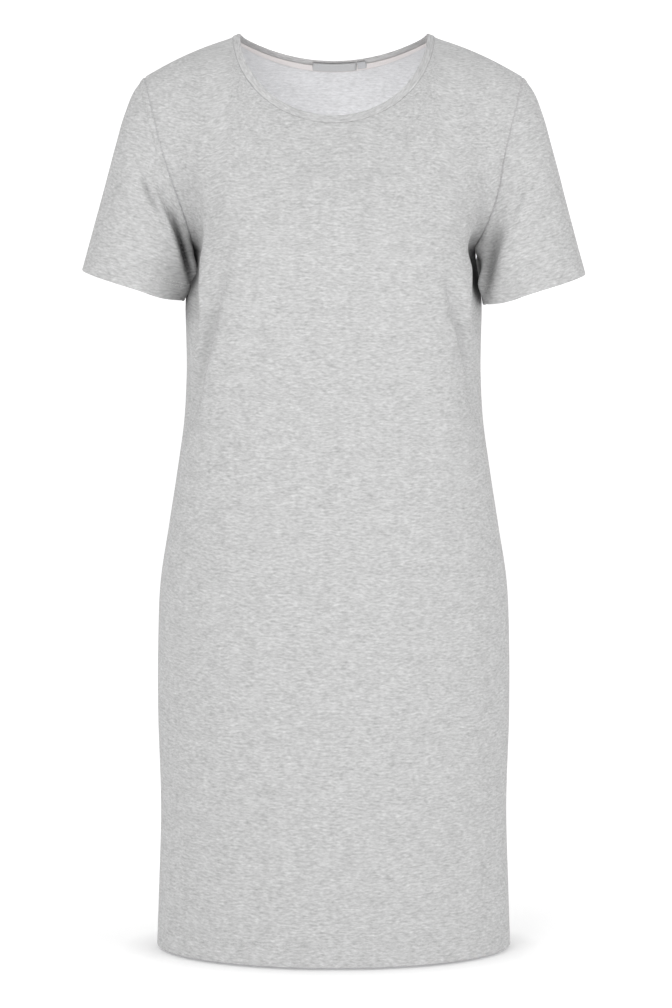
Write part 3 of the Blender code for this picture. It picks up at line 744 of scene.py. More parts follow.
def neck_place(side, turn, outwards):
    return find_on_chest(side, *neck_curve(side, turn, outwards))


def top_places(side, column):
    """Where on the chest each column ends: on the neckline's seam, or on the shoulder seam."""
    out = np.abs(column)
    turn = np.sign(column) * np.clip(out / NECK_SHARE, 0, 1)
    neck_u, neck_s = neck_place(side, turn, 1.0)
    shoulder_u = np.sign(column) * (NECK_AT + (1 - NECK_AT) * (out - NECK_SHARE) / (1 - NECK_SHARE))
    on_neck = out < NECK_SHARE - ROUNDING
    return np.where(on_neck, neck_u, shoulder_u), np.where(on_neck, neck_s, 1.0)


def panel_sheet(side, column, level):
    """A panel's smooth sheet, for a grid of columns (-1 to 1, side seam to side seam) and levels
    (-1 to 0 from hem to armpit, and on to 1 at the top)."""
    drop = ARMPIT_DROP - np.minimum(level, 0) * (LENGTH - ARMPIT_DROP)
    below = section_point(side, column, drop)
    w = np.clip(level, 0, 1)
    top_u, top_s = top_places(side, column[0])
    above = chest_point(side, column + (top_u - column) * w**2, w * top_s)
    return np.where((level <= 0)[..., None], below, above)


centre_u, centre_s = neck_place(FRONT, np.array([0.0]), 1.0)
print("centre front of the neck seam, m:", chest_point(FRONT, centre_u, centre_s)[0].round(4))

# %% [markdown]
# ## Where the grid lines go
# A grid line every three millimetres is enough for folds. Seams and hems need more, because their
# rolled edges and stitch channels are under a millimetre deep. So the lines stand close together there.

# %% Grid lines
HALF_COLUMNS = 77               # a multiple of 7 puts a line where neckline meets shoulder seam
SKIRT_ROWS = 175
CHEST_ROWS = 82
CHEST_CROWDING = 0.6            # how much closer than average the rows lie near the armpit and the top
PANEL_HALF_ROW = 235 * MM
CHEST_HEIGHT = 190 * MM
SEAM_STEPS = np.array([0.4, 1.0, 1.9]) * MM
HEM_STEPS = np.array([0, 0.2, 0.6, 1.4, 3, 5.5, 8, 10.5, 13, 15.5, 17.5, 18.8, 19.6, 20.2, 20.8, 21.4,
                      22.2, 23.0, 23.6, 24.2, 24.8, 25.6, 27]) * MM


def panel_columns():
    even = np.linspace(-1, 1, 2 * HALF_COLUMNS + 1)
    close = 1 - SEAM_STEPS / PANEL_HALF_ROW
    return np.sort(np.concatenate([even, close, -close]))


def chest_levels():
    """Levels from the armpit (0) to the top (1)."""
    even = np.linspace(0, 1, CHEST_ROWS + 1)
    crowded = even - CHEST_CROWDING * (1 - np.cos(2 * np.pi * even)) / (2 * np.pi)
    return np.sort(np.concatenate([crowded, 1 - SEAM_STEPS / CHEST_HEIGHT]))


def panel_levels():
    hem = -1 + HEM_STEPS / (LENGTH - ARMPIT_DROP)
    skirt = np.linspace(hem[-1], 0, SKIRT_ROWS + 1)[1:-1]
    return np.concatenate([hem, skirt, chest_levels()])


columns, levels = panel_columns(), panel_levels()
ARMPIT_ROW = len(levels) - len(chest_levels())
MIDDLE = len(columns) // 2
REACH = int(np.argmin(np.abs(columns - NECK_SHARE))) - MIDDLE
ON_NECK = slice(MIDDLE - REACH, MIDDLE + REACH + 1)
print("a panel's grid:", len(levels), "rows by", len(columns), "columns")

# %% [markdown]
# ## Panels
# A panel is the smooth sheet, pushed out along its normals by its folds, creases and waves. The pushes
# fade out near the seams, so that two pieces that share a seam still meet there.

# %% Panel sheets
SIDE_FADE = 0.3
TUCK_FADE = 0.12
TOP_FADE = 0.12
SIDE_EASE = 0.023               # the body is this share wider just below the armpits
SIDE_EASE_DROP = 266 * MM
SIDE_EASE_HEIGHT = 30 * MM


def panel_grid(side):
    """A panel's outer points, folds and all, as rows from the hem up."""
    column, level = np.meshgrid(columns, levels)
    sheet = panel_sheet(side, column, level)
    drop = -sheet[..., 2]
    below_armpit = soft_step((drop - ARMPIT_DROP) / SIDE_EASE_HEIGHT)
    sheet[..., 0] *= 1 + SIDE_EASE * bell(drop - SIDE_EASE_DROP, SIDE_EASE_HEIGHT) * below_armpit
    normals = grid_normals(sheet, -side)
    x, z = sheet[..., 0], sheet[..., 2]
    folds = FRONT_FOLDS + FRONT_CREASES if side == FRONT else BACK_FOLDS + BACK_CREASES
    swelling = swelling_push(BUST if side == FRONT else BLADES, x, z)
    push = fold_push(folds, x, z) + swelling + wave_push(x, z)
    from_side = 1 - np.abs(column)
    push *= soft_step(from_side / SIDE_FADE)
    push += fold_push(ARMPIT_TUCKS, x, z) * soft_step(from_side / TUCK_FADE)
    top_fade = np.clip((1 - level) / TOP_FADE, 0, 1)
    return sheet + normals * (push * top_fade)[..., None]


sheets = {"front": panel_grid(FRONT), "back": panel_grid(BACK)}
print("front panel's least x, y and z, m:", sheets["front"].min(axis=(0, 1)).round(3))

# %% [markdown]
# ## Sleeves
# The over-arm line is four times as long as the under-arm line, so rings at even shares of the length
# would crowd together under the arm. The rings next to the armhole and the hem are therefore measured
# in millimetres from their own edge, and the others share the rest evenly.

# %% Sleeve sheets
SLEEVE_RINGS = 66
COARSE_RINGS = 30
UNDERARM_FADE = 2.2
ARMHOLE_FADE = 0.06
HEM_SAG = 2.6 * MM              # the cuff hangs a little lower near the body than a straight cut would
HEM_SAG_OUT = 174 * MM
HEM_SAG_WIDTH = 18 * MM
SLEEVE_SEAM_STEPS = np.array([0.4, 1.0, 1.9, 3.2, 4.8, 6.2, 7.0, 7.8, 8.8]) * MM
SLEEVE_HEM_STEPS = np.array([0, 0.2, 0.6, 1.4, 3, 5.5, 8, 10.5, 13, 14.8, 15.6, 16.2, 16.8, 17.4,
                             18.2, 19.0, 19.6, 20.2, 20.8, 21.6, 23]) * MM


def sleeve_ovals(hand, turn, along, lower):
    """A sleeve's smooth sheet. turn goes once round from the armpit over the front, in radians."""
    names = "over_out over_drop under_out under_drop half_depth"
    over_out, over_drop, under_out, under_drop, half_depth = (
        column * MM for column in read_columns(SLEEVE_ROWS, names, along)
    )
    square = 2 + (SLEEVE_SQUARE - 2) * along
    lengthwise, crosswise = -np.cos(turn), -np.sin(turn)
    plump = (np.abs(lengthwise) ** square + np.abs(crosswise) ** square) ** (-1 / square)
    middle_out, reach_out = (over_out + under_out) / 2, (over_out - under_out) / 2
    middle_drop, reach_drop = (over_drop + under_drop) / 2, (over_drop - under_drop) / 2
    out = middle_out + reach_out * lengthwise * plump
    drop = middle_drop + reach_drop * lengthwise * plump + lower * along**2
    drop += HEM_SAG * bell(out - HEM_SAG_OUT, HEM_SAG_WIDTH) * along**2
    return points(hand * out, half_depth * crosswise * plump, -drop)


def ring_places(hand, turns, lower):
    """The share of its length at which each ring crosses each column, from armhole to hem."""
    coarse_turn, coarse_along = np.meshgrid(turns, np.linspace(0, 1, COARSE_RINGS))
    column_lengths = lengths_along(sleeve_ovals(hand, coarse_turn, coarse_along, lower), axis=0)[-1]
    start = np.concatenate([[0], SLEEVE_SEAM_STEPS])[:, None] / column_lengths
    end = 1 - SLEEVE_HEM_STEPS[::-1][:, None] / column_lengths
    shares = np.linspace(0, 1, SLEEVE_RINGS + 1)[1:-1][:, None]
    between = start[-1:] + (end[:1] - start[-1:]) * shares
    return np.concatenate([start, between, end])


UNDERARM_LOBES = table("""
    hand side turn turn_width drop drop_width reach
      -1   -1 0.62       0.36  243         28    17
      -1    1 0.55       0.36  236         26     8
       1   -1 0.60       0.36  256         26  12.5
       1    1 0.55       0.36  244         26     9
""")
LOBE_FADE = 10 * MM


def lobe_push(hand, turn, sheet):
    """How far the cloth under the arm swells towards the body, before and behind the armpit."""
    drop, down = -sheet[..., 2] / MM, lengths_along(sheet, axis=0)
    from_under = np.minimum(turn, 2 * math.pi - turn)
    push = np.zeros_like(down)
    for lobe in UNDERARM_LOBES:
        here = (turn <= math.pi) == (lobe.side == FRONT)
        swell = bell(from_under - lobe.turn, lobe.turn_width) * bell(drop - lobe.drop, lobe.drop_width)
        swell *= lobe.reach * MM * soft_step(from_under / lobe.turn)
        push += np.where(here & (lobe.hand == hand), swell, 0)
    return push * soft_step(down / LOBE_FADE)


def sleeve_grid(hand, front_folds, lower):
    """A sleeve's outer points: rows from the armhole to the hem, columns once round from the armpit,
    over the front. hand is -1 for the wearer's right sleeve and 1 for the left."""
    half_round = chest_levels() / 2
    turns = 2 * math.pi * np.concatenate([half_round, 1 - half_round[::-1][1:]])
    along = ring_places(hand, turns, lower)
    turn = np.broadcast_to(turns, along.shape)
    sheet = sleeve_ovals(hand, turn, along, lower)
    sheet[..., 0] -= hand * lobe_push(hand, turn, sheet)
    normals = tube_normals(sheet, -hand)
    ease = np.clip(np.abs(np.sin(turn)) * UNDERARM_FADE, 0, 1) * np.clip(along / ARMHOLE_FADE, 0, 1)
    x, z = sheet[..., 0], sheet[..., 2]
    on_front = sheet[..., 1] < 0
    push = np.where(on_front, fold_push(front_folds, x, z), fold_push(SLEEVE_BACK_FOLDS, np.abs(x), z))
    push += fold_push(SLEEVE_CREASES, np.abs(x), z) + wave_push(x, z)
    return sheet + normals * (push * ease)[..., None]


sheets["right"] = sleeve_grid(-1, RIGHT_SLEEVE_FRONT_FOLDS + RIGHT_SLEEVE_CREASES, 0.0)
sheets["left"] = sleeve_grid(1, LEFT_SLEEVE_FRONT_FOLDS + LEFT_SLEEVE_CREASES, LEFT_SLEEVE_LOWER)
print("a sleeve's grid:", sheets["right"].shape[:2])

# %% [markdown]
# ## Neckband
# The band is a strip that is folded lengthwise and sewn on along both raw edges, so its free edge is a
# soft round fold. Rings run from the seam to that fold, close together where the surface turns.

# %% Neckband sheet
BAND_HEIGHTS = np.array([0, 0.05, 0.12, 0.22, 0.36, 0.48, 0.56, 0.62, 0.68, 0.76, 0.85, 0.91, 0.95, 0.975])
FOLD_STARTS = 0.8               # of the band's width, from where its wall rounds off to the fold


def neckband_grid():
    """The neckband's sheet: rings from the seam to the opening's edge, once round from the right."""
    turns = columns[np.abs(columns) <= NECK_SHARE + ROUNDING] / NECK_SHARE
    rings = []
    for outwards in 1 - BAND_HEIGHTS:
        front_half = chest_point(FRONT, *neck_place(FRONT, turns, outwards))
        back_half = chest_point(BACK, *neck_place(BACK, turns[::-1], outwards))
        rings.append(np.concatenate([front_half, back_half[1:]]))
    return np.stack(rings)


ARMHOLE_PULLS = table("""
    hand out drop width height reach
      -1 152  188    26     50     5
       1 160  164    26     36  -4.5
       1 147  217    14     12   3.5
""")
PULL_AHEAD = 24 * MM            # the pulls reach their full strength this far in front of the armpit


def armhole_pull(sheet):
    """How far the cloth in front of each armhole is drawn sideways, towards +X."""
    x, ahead, drop = sheet[..., 0], -sheet[..., 1], -sheet[..., 2]
    push = np.zeros_like(x)
    for pull in ARMHOLE_PULLS:
        near = bell(pull.hand * x - pull.out * MM, pull.width * MM)
        near = near * bell(drop - pull.drop * MM, pull.height * MM)
        push -= pull.hand * pull.reach * MM * near
    return push * soft_step(ahead / PULL_AHEAD)


PEAK_LIFT = 1.8 * MM
PEAK_REACH = 9 * MM


def peak_lift(sheet):
    """How far the cloth stands up around the two high shoulder points."""
    from_peak = np.linalg.norm(np.abs(sheet) - np.array([NECK_HALF_WIDTH, 0, 0]), axis=-1)
    return PEAK_LIFT * bell(from_peak, PEAK_REACH)


for name in ("front", "right", "left"):
    sheets[name][..., 0] += armhole_pull(sheets[name])
sheets["band"] = neckband_grid()
for name in ("band", "front", "back"):
    sheets[name][..., 2] += peak_lift(sheets[name])
print("the neckband's grid:", sheets["band"].shape[:2])

# %% [markdown]
# ## Walls that meet
# Each sheet gets a thickness along its normals. Along a seam the two pieces' normals differ, so their
# walls would cross or gape. Giving both edges the direction midway between them makes the walls meet.

# %% Shared seams
ALIKE = 0.2
AGREEMENT = 0.4
ARMPIT_ROWS = 8                 # the rows over which the side seam's groove runs out below the armpit


def share(normals, other_normals):
    """Gives both sides of a seam the direction midway between them, unless they face each other.
    Returns how well they agree, from 0 to 1."""
    alike = np.sum(normals * other_normals, axis=-1, keepdims=True)
    midway = unit(normals + other_normals)
    normals[:] = np.where(alike > ALIKE, midway, normals)
    other_normals[:] = np.where(alike > ALIKE, midway, other_normals)
    return soft_step((alike[..., 0] - ALIKE) / AGREEMENT)


def seam_normals():
    """Each sheet's normals, and how strongly the seam round each armhole can pull, from 0 to 1."""
    normals = {"front": grid_normals(sheets["front"], 1), "back": grid_normals(sheets["back"], -1)}
    for name, sign in (("band", 1), ("right", 1), ("left", -1)):
        normals[name] = tube_normals(sheets[name], sign)
    front, back, band = normals["front"], normals["back"], normals["band"]
    for edge in (0, -1):
        share(front[:ARMPIT_ROW + 1, edge], back[:ARMPIT_ROW + 1, edge])
    share(front[-1], back[-1])
    share(front[-1, ON_NECK], band[0, :2 * REACH + 1])
    share(back[-1, ON_NECK], band[0, 2 * REACH:][::-1])
    for neck_end, band_column in ((MIDDLE - REACH, 0), (MIDDLE + REACH, 2 * REACH)):
        corner = unit(front[-1, neck_end] + back[-1, neck_end] + band[0, band_column])
        front[-1, neck_end] = back[-1, neck_end] = band[0, band_column] = corner
    band[0, -1] = band[0, 0]
    half_round = len(chest_levels())
    pull = {}
    for name, edge in (("right", 0), ("left", -1)):
        over_front = share(front[ARMPIT_ROW:, edge], normals[name][0, :half_round])
        over_back = share(back[ARMPIT_ROW:, edge], normals[name][0, half_round - 1:][::-1])
        pull[name] = np.concatenate([over_front, over_back[::-1][1:]])
    below = soft_step((ARMPIT_ROW - np.arange(ARMPIT_ROW)) / ARMPIT_ROWS)
    pull["front"] = np.concatenate([below, over_front])
    pull["back"] = np.concatenate([below, over_back])
    return normals, pull


normals, pull = seam_normals()
print("pieces with normals:", sorted(normals), "weakest pull:", round(float(pull["front"].min()), 2))

# %% [markdown]
# ## Seams and hems as relief
# A sewn seam rolls down into a groove, because the stitches pull the cloth inwards. On the sleeve the
# seam allowance lies underneath and lifts the cloth for seven millimetres. A hem is turned up and sewn
# with two rows of stitches, each of which sinks into a fine channel with small puckers beside it.

# %% Relief profiles
SEAM_ROLL_DEPTH = 1.2 * MM
SEAM_ROLL_WIDTH = 0.95 * MM
TOP_SEAM_PULL = 0.3             # the neck and shoulder seams pull in less than the armholes
ALLOWANCE_WIDTH = 6.6 * MM
ALLOWANCE_HEIGHT = 0.55 * MM
ALLOWANCE_EDGE = 1.2 * MM
ALLOWANCE_START = 1.5 * MM
CHANNEL_DEPTH = 0.35 * MM
CHANNEL_WIDTH = 0.55 * MM
HEM_ROWS_AT = (20.5 * MM, 23.9 * MM)
SLEEVE_HEM_ROWS_AT = (16.5 * MM, 19.9 * MM)
HEM_OVERLAP = 1.2 * MM          # the turned-up cloth ends this far above the upper row of stitches
PUCKER_LENGTH = 9 * MM
PUCKER_HEIGHT = 0.18 * MM
PUCKER_REACH = 5 * MM
SECOND_PUCKER = 1.62            # the second waver's length, in lengths of the first


def seam_roll(distance):
    return -SEAM_ROLL_DEPTH * bell(distance, SEAM_ROLL_WIDTH)


def allowance_lift(distance):
    return ALLOWANCE_HEIGHT * (1 - soft_step((distance - ALLOWANCE_WIDTH) / ALLOWANCE_EDGE))


def hem_relief(distance, around, rows_at):
    """Stitch channels, and small puckers that lean on them, where distance is up from the hem."""
    relief = np.zeros_like(distance)
    for row_at in rows_at:
        relief -= CHANNEL_DEPTH * bell(distance - row_at, CHANNEL_WIDTH)
    middle = (rows_at[0] + rows_at[1]) / 2
    turns = 2 * np.pi * around / PUCKER_LENGTH
    waver = (np.sin(turns) + np.sin(turns / SECOND_PUCKER)) / 2
    return relief + PUCKER_HEIGHT * waver * bell(distance - middle, PUCKER_REACH)


def rounded(distance, width, least):
    """The share of a wall's thickness that is left at a distance from its edge, from `least` up to 1."""
    return least + (1 - least) * np.sqrt(np.clip(distance / width, 0, 1))


print("groove beside a seam, mm:", round(float(seam_roll(0.0)) / MM, 2))

# %% Walls of the panels and sleeves
GUIDE_COLUMN = MIDDLE + REACH + (len(columns) - MIDDLE - REACH) // 2    # ends halfway along the shoulder
HEM_LAYER = 0.8                 # what the turned-up cloth adds, as a share of the jersey's thickness
HEM_LAYER_EDGE = 0.8 * MM
HEM_ROUND_WIDTH = 0.9 * MM
HEM_ROUND_LEAST = 0.25
ARMHOLE_SIDE = 5 * MM           # this close to the armhole a sleeve has no hem relief
ARMHOLE_SIDE_FADE = 10 * MM
Wall = namedtuple("Wall", "outer inner grain")      # grain is each point's place on the flat cloth


def cloth_wall(name, sheet, relief, from_hem, rows_at, grain):
    """The two sides of a wall that is thicker in its hem and rounded at the hem's fold."""
    hem_top = rows_at[1] + HEM_OVERLAP
    in_hem = 1 - soft_step((from_hem - hem_top) / HEM_LAYER_EDGE)
    thickness = JERSEY_THICKNESS * (1 + HEM_LAYER * in_hem)
    left = rounded(from_hem, HEM_ROUND_WIDTH, HEM_ROUND_LEAST)
    outer_push = relief - (1 - left) * thickness / 2
    inner_push = -thickness * (1 + left) / 2
    outer, inner = (sheet + normals[name] * push[..., None] for push in (outer_push, inner_push))
    return Wall(outer, inner, grain)


def panel_grain(sheet, across, up):
    """The cloth's own coordinates on a panel. On the chest its rows of loops stay level, so they follow
    the height, by the length that one column near the shoulder's middle has at that height."""
    guide_height, guide_length = sheet[ARMPIT_ROW:, GUIDE_COLUMN, 2], up[ARMPIT_ROW:, GUIDE_COLUMN]
    steepness = (guide_length[-1] - guide_length[-2]) / (guide_height[-1] - guide_height[-2])
    height = sheet[ARMPIT_ROW:, :, 2]
    length = np.interp(height, guide_height, guide_length)
    length += np.maximum(height - guide_height[-1], 0) * steepness
    rows_up = up.copy()
    rows_up[ARMPIT_ROW:] = up[ARMPIT_ROW] + length - length[0]
    return np.stack([across - across[:, MIDDLE:MIDDLE + 1], rows_up], axis=-1)


def panel_wall(name):
    sheet = sheets[name]
    across, up = spans(sheet)
    from_side = np.minimum(across, across[:, -1:] - across)
    relief = seam_roll(from_side) * pull[name][:, None] + seam_roll(up[-1:] - up) * TOP_SEAM_PULL
    relief += hem_relief(up, across, HEM_ROWS_AT)
    return cloth_wall(name, sheet, relief, up, HEM_ROWS_AT, panel_grain(sheet, across, up))


def sleeve_wall(name, hand):
    """A sleeve stands off from its armhole by a hair, along the axis through both armholes."""
    armhole_run = SHOULDER_HALF_WIDTH - SECTIONS[-1].half_width * MM
    axis = unit(np.array([hand * (ARMPIT_DROP - SHOULDER_DROP), 0, -armhole_run]))
    around, down = spans(sheets[name])
    from_hem = down[-1:] - down
    relief = seam_roll(down) * pull[name] + allowance_lift(down) * soft_step(down / ALLOWANCE_START)
    away = soft_step((down - ARMHOLE_SIDE) / ARMHOLE_SIDE_FADE)
    relief += hem_relief(from_hem, around, SLEEVE_HEM_ROWS_AT) * away
    sheet, grain = sheets[name] + SEAM_GAP * axis, np.stack([around, from_hem], axis=-1)
    return cloth_wall(name, sheet, relief, from_hem, SLEEVE_HEM_ROWS_AT, grain)


walls = {"front": panel_wall("front"), "back": panel_wall("back")}
walls["right"], walls["left"] = sleeve_wall("right", -1), sleeve_wall("left", 1)
print("walls:", sorted(walls))

# %% Wall of the neckband
BAND_SEAM_PULL = 0.25
BAND_DIP_AT = 4.4 * MM          # a faint line where the seam allowance inside the band ends
BAND_DIP_DEPTH = 0.2 * MM
BAND_DIP_WIDTH = 0.7 * MM
BAND_LEAST = 0.02               # keeps the rounded edge from closing altogether


def band_wall():
    """The band stands a little proud, dips at its seam, and rounds over at its folded edge."""
    around, up = spans(sheets["band"])
    past_start = np.clip((BAND_HEIGHTS - FOLD_STARTS) / (1 - FOLD_STARTS), 0, 1)
    left = np.sqrt(np.maximum(1 - past_start**2, BAND_LEAST))[:, None] + np.zeros_like(up)
    middle, reach = BAND_PROUD - BAND_THICKNESS / 2, BAND_THICKNESS / 2 * left
    dip = BAND_DIP_DEPTH * bell(up - BAND_DIP_AT, BAND_DIP_WIDTH)
    outer_push = middle + reach + seam_roll(up) * BAND_SEAM_PULL - dip
    outer, inner = (
        sheets["band"] + normals["band"] * push[..., None] for push in (outer_push, middle - reach)
    )
    return Wall(outer, inner, np.stack([around, up], axis=-1))


walls["band"] = band_wall()
print("the band is now one of", len(walls), "walls")

# %% [markdown]
# ## Tape and labels
# Inside the back neck a narrow cotton tape covers the seam between the band and the back, and two woven
# labels are sewn over it. They are flat strips that follow what they lie on. So each strip takes its
# points from the inner sides of the back and the band, at measured distances from the seam, and moves
# them a little further in.

# %% Strips inside the neck
Strip = namedtuple("Strip", "start end on_band on_back depth thickness")
STRIPS = {
    "neck_tape": Strip(start=-96.5, end=96.5, on_band=1.4, on_back=6.6, depth=0.3, thickness=0.6),
    "main_label": Strip(start=-22, end=24, on_band=5.2, on_back=5.2, depth=1.05, thickness=0.5),
    "size_label": Strip(start=25, end=34, on_band=5.2, on_back=4.2, depth=1.05, thickness=0.5),
}
STRIP_ROWS = 13
STRIP_EDGE = 0.4 * MM           # the width over which a strip's edge is rounded off
STRIP_LEAST = 0.35
PATH_ROWS = 12                  # how many of the back's rows a strip can reach down over


def path_over_seam(column):
    """Inner points of the back and the band in one of their shared columns, with each point's distance
    from the seam: negative down the back, positive up the band."""
    down = walls["back"].inner[-PATH_ROWS:, MIDDLE - REACH + column]
    up = walls["band"].inner[:, -1 - column]
    path = np.concatenate([down[:-1], [(down[-1] + up[0]) / 2], up[1:]])
    distance = lengths_along(path, axis=0)
    return path, distance - distance[len(down) - 1]


def neck_strip(strip):
    """A strip's wall, whose rows run upwards from the back."""
    rows = np.linspace(-strip.on_back, strip.on_band, STRIP_ROWS) * MM
    paths = [path_over_seam(column) for column in range(2 * REACH + 1)]
    sheet = np.stack([points_at(rows, distance, path) for path, distance in paths], axis=1)
    facing = grid_normals(sheet, -1)
    column_x = sheet[STRIP_ROWS // 2, :, 0]
    start, end = strip.start * MM, strip.end * MM
    inside = column_x[(column_x > start + STRIP_EDGE) & (column_x < end - STRIP_EDGE)]
    strip_x = np.concatenate([[start, start + STRIP_EDGE], inside, [end - STRIP_EDGE, end]])
    sheet, facing = (
        np.stack([points_at(strip_x, column_x, row) for row in grid]) for grid in (sheet, facing)
    )
    across, up = spans(sheet)
    from_edge = np.minimum(np.minimum(across, across[:, -1:] - across), np.minimum(up, up[-1:] - up))
    middle = (strip.depth + strip.thickness / 2) * MM
    reach = (strip.thickness / 2 * MM * rounded(from_edge, STRIP_EDGE, STRIP_LEAST))[..., None]
    outer, inner = sheet - facing * (middle - reach), sheet - facing * (middle + reach)
    return Wall(outer, inner, np.stack([across, up], axis=-1))


for name, strip in STRIPS.items():
    walls[name] = neck_strip(strip)
print("strips:", {name: walls[name].outer.shape[:2] for name in STRIPS})

# %% [markdown]
# ## Shelter
# Under the arms the cloth closes on itself, and hardly any light gets in. Folds that tight are finer than
# the grid. So a number from 0 to 1 says how sheltered each point is, and the material darkens there with
# painted shade. The same painted shade darkens a few fold troughs on the front and the sleeves, and the
# back of the neckband near the shoulders.

# %% Sheltered places
BODY_SHELTERS = table("""
    hand out ahead drop_from drop_to radius dark
      -1 147    18       230     260     25 0.94
      -1 144    34       262     272     22  0.3
       1 147    14       230     250     21  0.9
""")
SLEEVE_SHELTERS = table("""
    hand out ahead drop_from drop_to radius dark
      -1 146    14       224     262     26  0.6
      -1 163    32       236     256     20  0.4
""")
# Painted shade on the back of the neckband near the shoulders.
BAND_SHELTERS = table("""
    hand out ahead drop_from drop_to radius dark
      -1  84   -16         0      20     24 0.25
       1  84   -16         0      20     24 0.25
""")
# Painted shade in the gap beside one armpit and along the fold troughs at the front's sides.
BODY_SHADES = table("""
      out1 drop1 out2 drop2 out3 drop3 width dark
    -138.8   229 -142   246 -149   264     3 0.75
      -110   262 -128   312 -152   400     4  0.1
       112   262  124   300  134   345     4 0.05
""")
# Painted shade in the sleeves' deep creases.
SLEEVE_SHADES = table("""
    out1 drop1 out2 drop2   out3 drop3 width dark
    -166   172 -153   217 -142.5   252   2.5 0.96
    -197   140 -186   162   -174   186   1.8  0.3
     168   190  161   230    153   270   3.4  0.5
""")
SHADE_AHEAD = 12 * MM           # the shades lie only on the front, from this far ahead of the armpit


def shelter_of(points_on, shelters, shades):
    """How sheltered each point is, from 0 in the open to 1 deep in a fold."""
    x, ahead, drop = points_on[..., 0], -points_on[..., 1], -points_on[..., 2]
    open_share = np.ones_like(x)
    for place in shelters:
        beyond = np.maximum(np.maximum(place.drop_from * MM - drop, drop - place.drop_to * MM), 0)
        sideways = np.hypot(x - place.hand * place.out * MM, ahead - place.ahead * MM)
        open_share *= 1 - place.dark * bell(np.hypot(sideways, beyond), place.radius * MM)
    for shade in shades:
        open_share *= 1 - shade.dark * fold_nearness(shade, x, -drop) * soft_step(ahead / SHADE_AHEAD)
    return 1 - open_share


sheltered = {
    name: shelter_of(walls[name].outer, shelters, shades) for name, shelters, shades in (
        ("front", BODY_SHELTERS, BODY_SHADES), ("back", BODY_SHELTERS, []), ("band", BAND_SHELTERS, []),
        ("right", SLEEVE_SHELTERS, SLEEVE_SHADES), ("left", SLEEVE_SHELTERS, SLEEVE_SHADES),
    )
}
print("most sheltered:", {name: round(float(most.max()), 2) for name, most in sheltered.items()})

# %% [markdown]
# ## The yarn's look
# Heather jersey is knitted from yarn that is spun of light and dark fibres, so the cloth shows fine
# streaks along its rows of loops. Noise that is stretched along the rows gives such streaks. Four sets
# at slightly different angles keep them from looking like printed lines. Their table gives the angle in
# degrees, the size in millimetres and the share of the whole. All of it is one node group, so that the
# body and the neckband can use it with their own colours.

# %% Mixes and groups
def mix_colours(tree, factor, first, second, blend="MIX"):
    """The colour output of a Mix node, whose colour inputs are its sockets 6 and 7."""
    inputs = {"Factor": factor, 6: first, 7: second}
    return add_node(tree, "Mix", inputs, data_type="RGBA", blend_type=blend).outputs[2]


def new_group(name, inputs, outputs):
    """An empty shader node group with named sockets, given as name: type."""
    group = bpy.data.node_groups.new(name, "ShaderNodeTree")
    for sockets, direction in ((inputs, "INPUT"), (outputs, "OUTPUT")):
        for socket, kind in sockets.items():
            group.interface.new_socket(socket, in_out=direction, socket_type="NodeSocket" + kind)
    return group, group.nodes.new("NodeGroupInput").outputs, group.nodes.new("NodeGroupOutput").inputs


print("node groups so far:", len(bpy.data.node_groups))

# %% Heather yarn
STREAKS = table("""
    turn length width weight
       1    8.6  2.05   0.36
      10    5.0  1.95   0.26
     -11    4.4  1.85   0.23
       3     22    13   0.15
""")
WANDER_SIZE = 24 * MM
WANDER = 5 * MM
CONTRAST_FROM = 0.325
CONTRAST_TO = 0.675

heather, heather_in, heather_out = new_group(
    "heather_yarn", {"Cloth Place": "Vector", "Dark": "Color", "Light": "Color"},
    {"Color": "Color", "Streak": "Float"},
)
cloth_place = heather_in["Cloth Place"]
slow_noise = add_node(
    heather, "TexNoise", {"Vector": cloth_place, "Scale": 1 / WANDER_SIZE, "Detail": 1.0}
)
centred = vector_maths(heather, "SUBTRACT", slow_noise.outputs["Color"], (0.5, 0.5, 0.5))["Vector"]
sideways = vector_maths(heather, "MULTIPLY", centred, (0, WANDER, 0))["Vector"]
wandering = vector_maths(heather, "ADD", cloth_place, sideways)["Vector"]
streaks = 0.0
for streak in STREAKS:
    turned = add_node(
        heather, "VectorRotate", {"Vector": wandering, "Angle": math.radians(streak.turn)},
        rotation_type="Z_AXIS",
    )
    stretched = add_node(heather, "Mapping", {
        "Vector": turned.outputs["Vector"], "Location": (streak.turn, 2 * streak.turn, 0),
        "Scale": (1 / (streak.length * MM), 1 / (streak.width * MM), 1),
    })
    fibres = add_node(heather, "TexNoise", {
        "Vector": stretched.outputs["Vector"], "Scale": 1.0, "Detail": 2.0, "Roughness": 0.6,
    })
    layer = maths(heather, "MULTIPLY", fibres.outputs["Fac"], streak.weight)
    streaks = maths(heather, "ADD", streaks, layer)
contrast = {"Value": streaks, "From Min": CONTRAST_FROM, "From Max": CONTRAST_TO}
spread = add_node(heather, "MapRange", contrast).outputs["Result"]
yarn_colour = mix_colours(heather, spread, heather_in["Dark"], heather_in["Light"])
heather.links.new(yarn_colour, heather_out["Color"])
heather.links.new(spread, heather_out["Streak"])
print("nodes in", heather.name, len(heather.nodes))

# %% [markdown]
# ## The knit's relief
# Seen close, jersey is columns of small V-shaped loops. A triangle wave across the cloth gives the two
# legs of each V, and leaning the rows by that same wave turns them into Vs. The relief is only a tenth
# of a millimetre high, so a Bump node shows it and the mesh stays plain.

# %% Jersey knit
WALE = 0.95 * MM                # one column of loops
COURSE = 0.72 * MM              # one row of loops
LEAN = 1.3

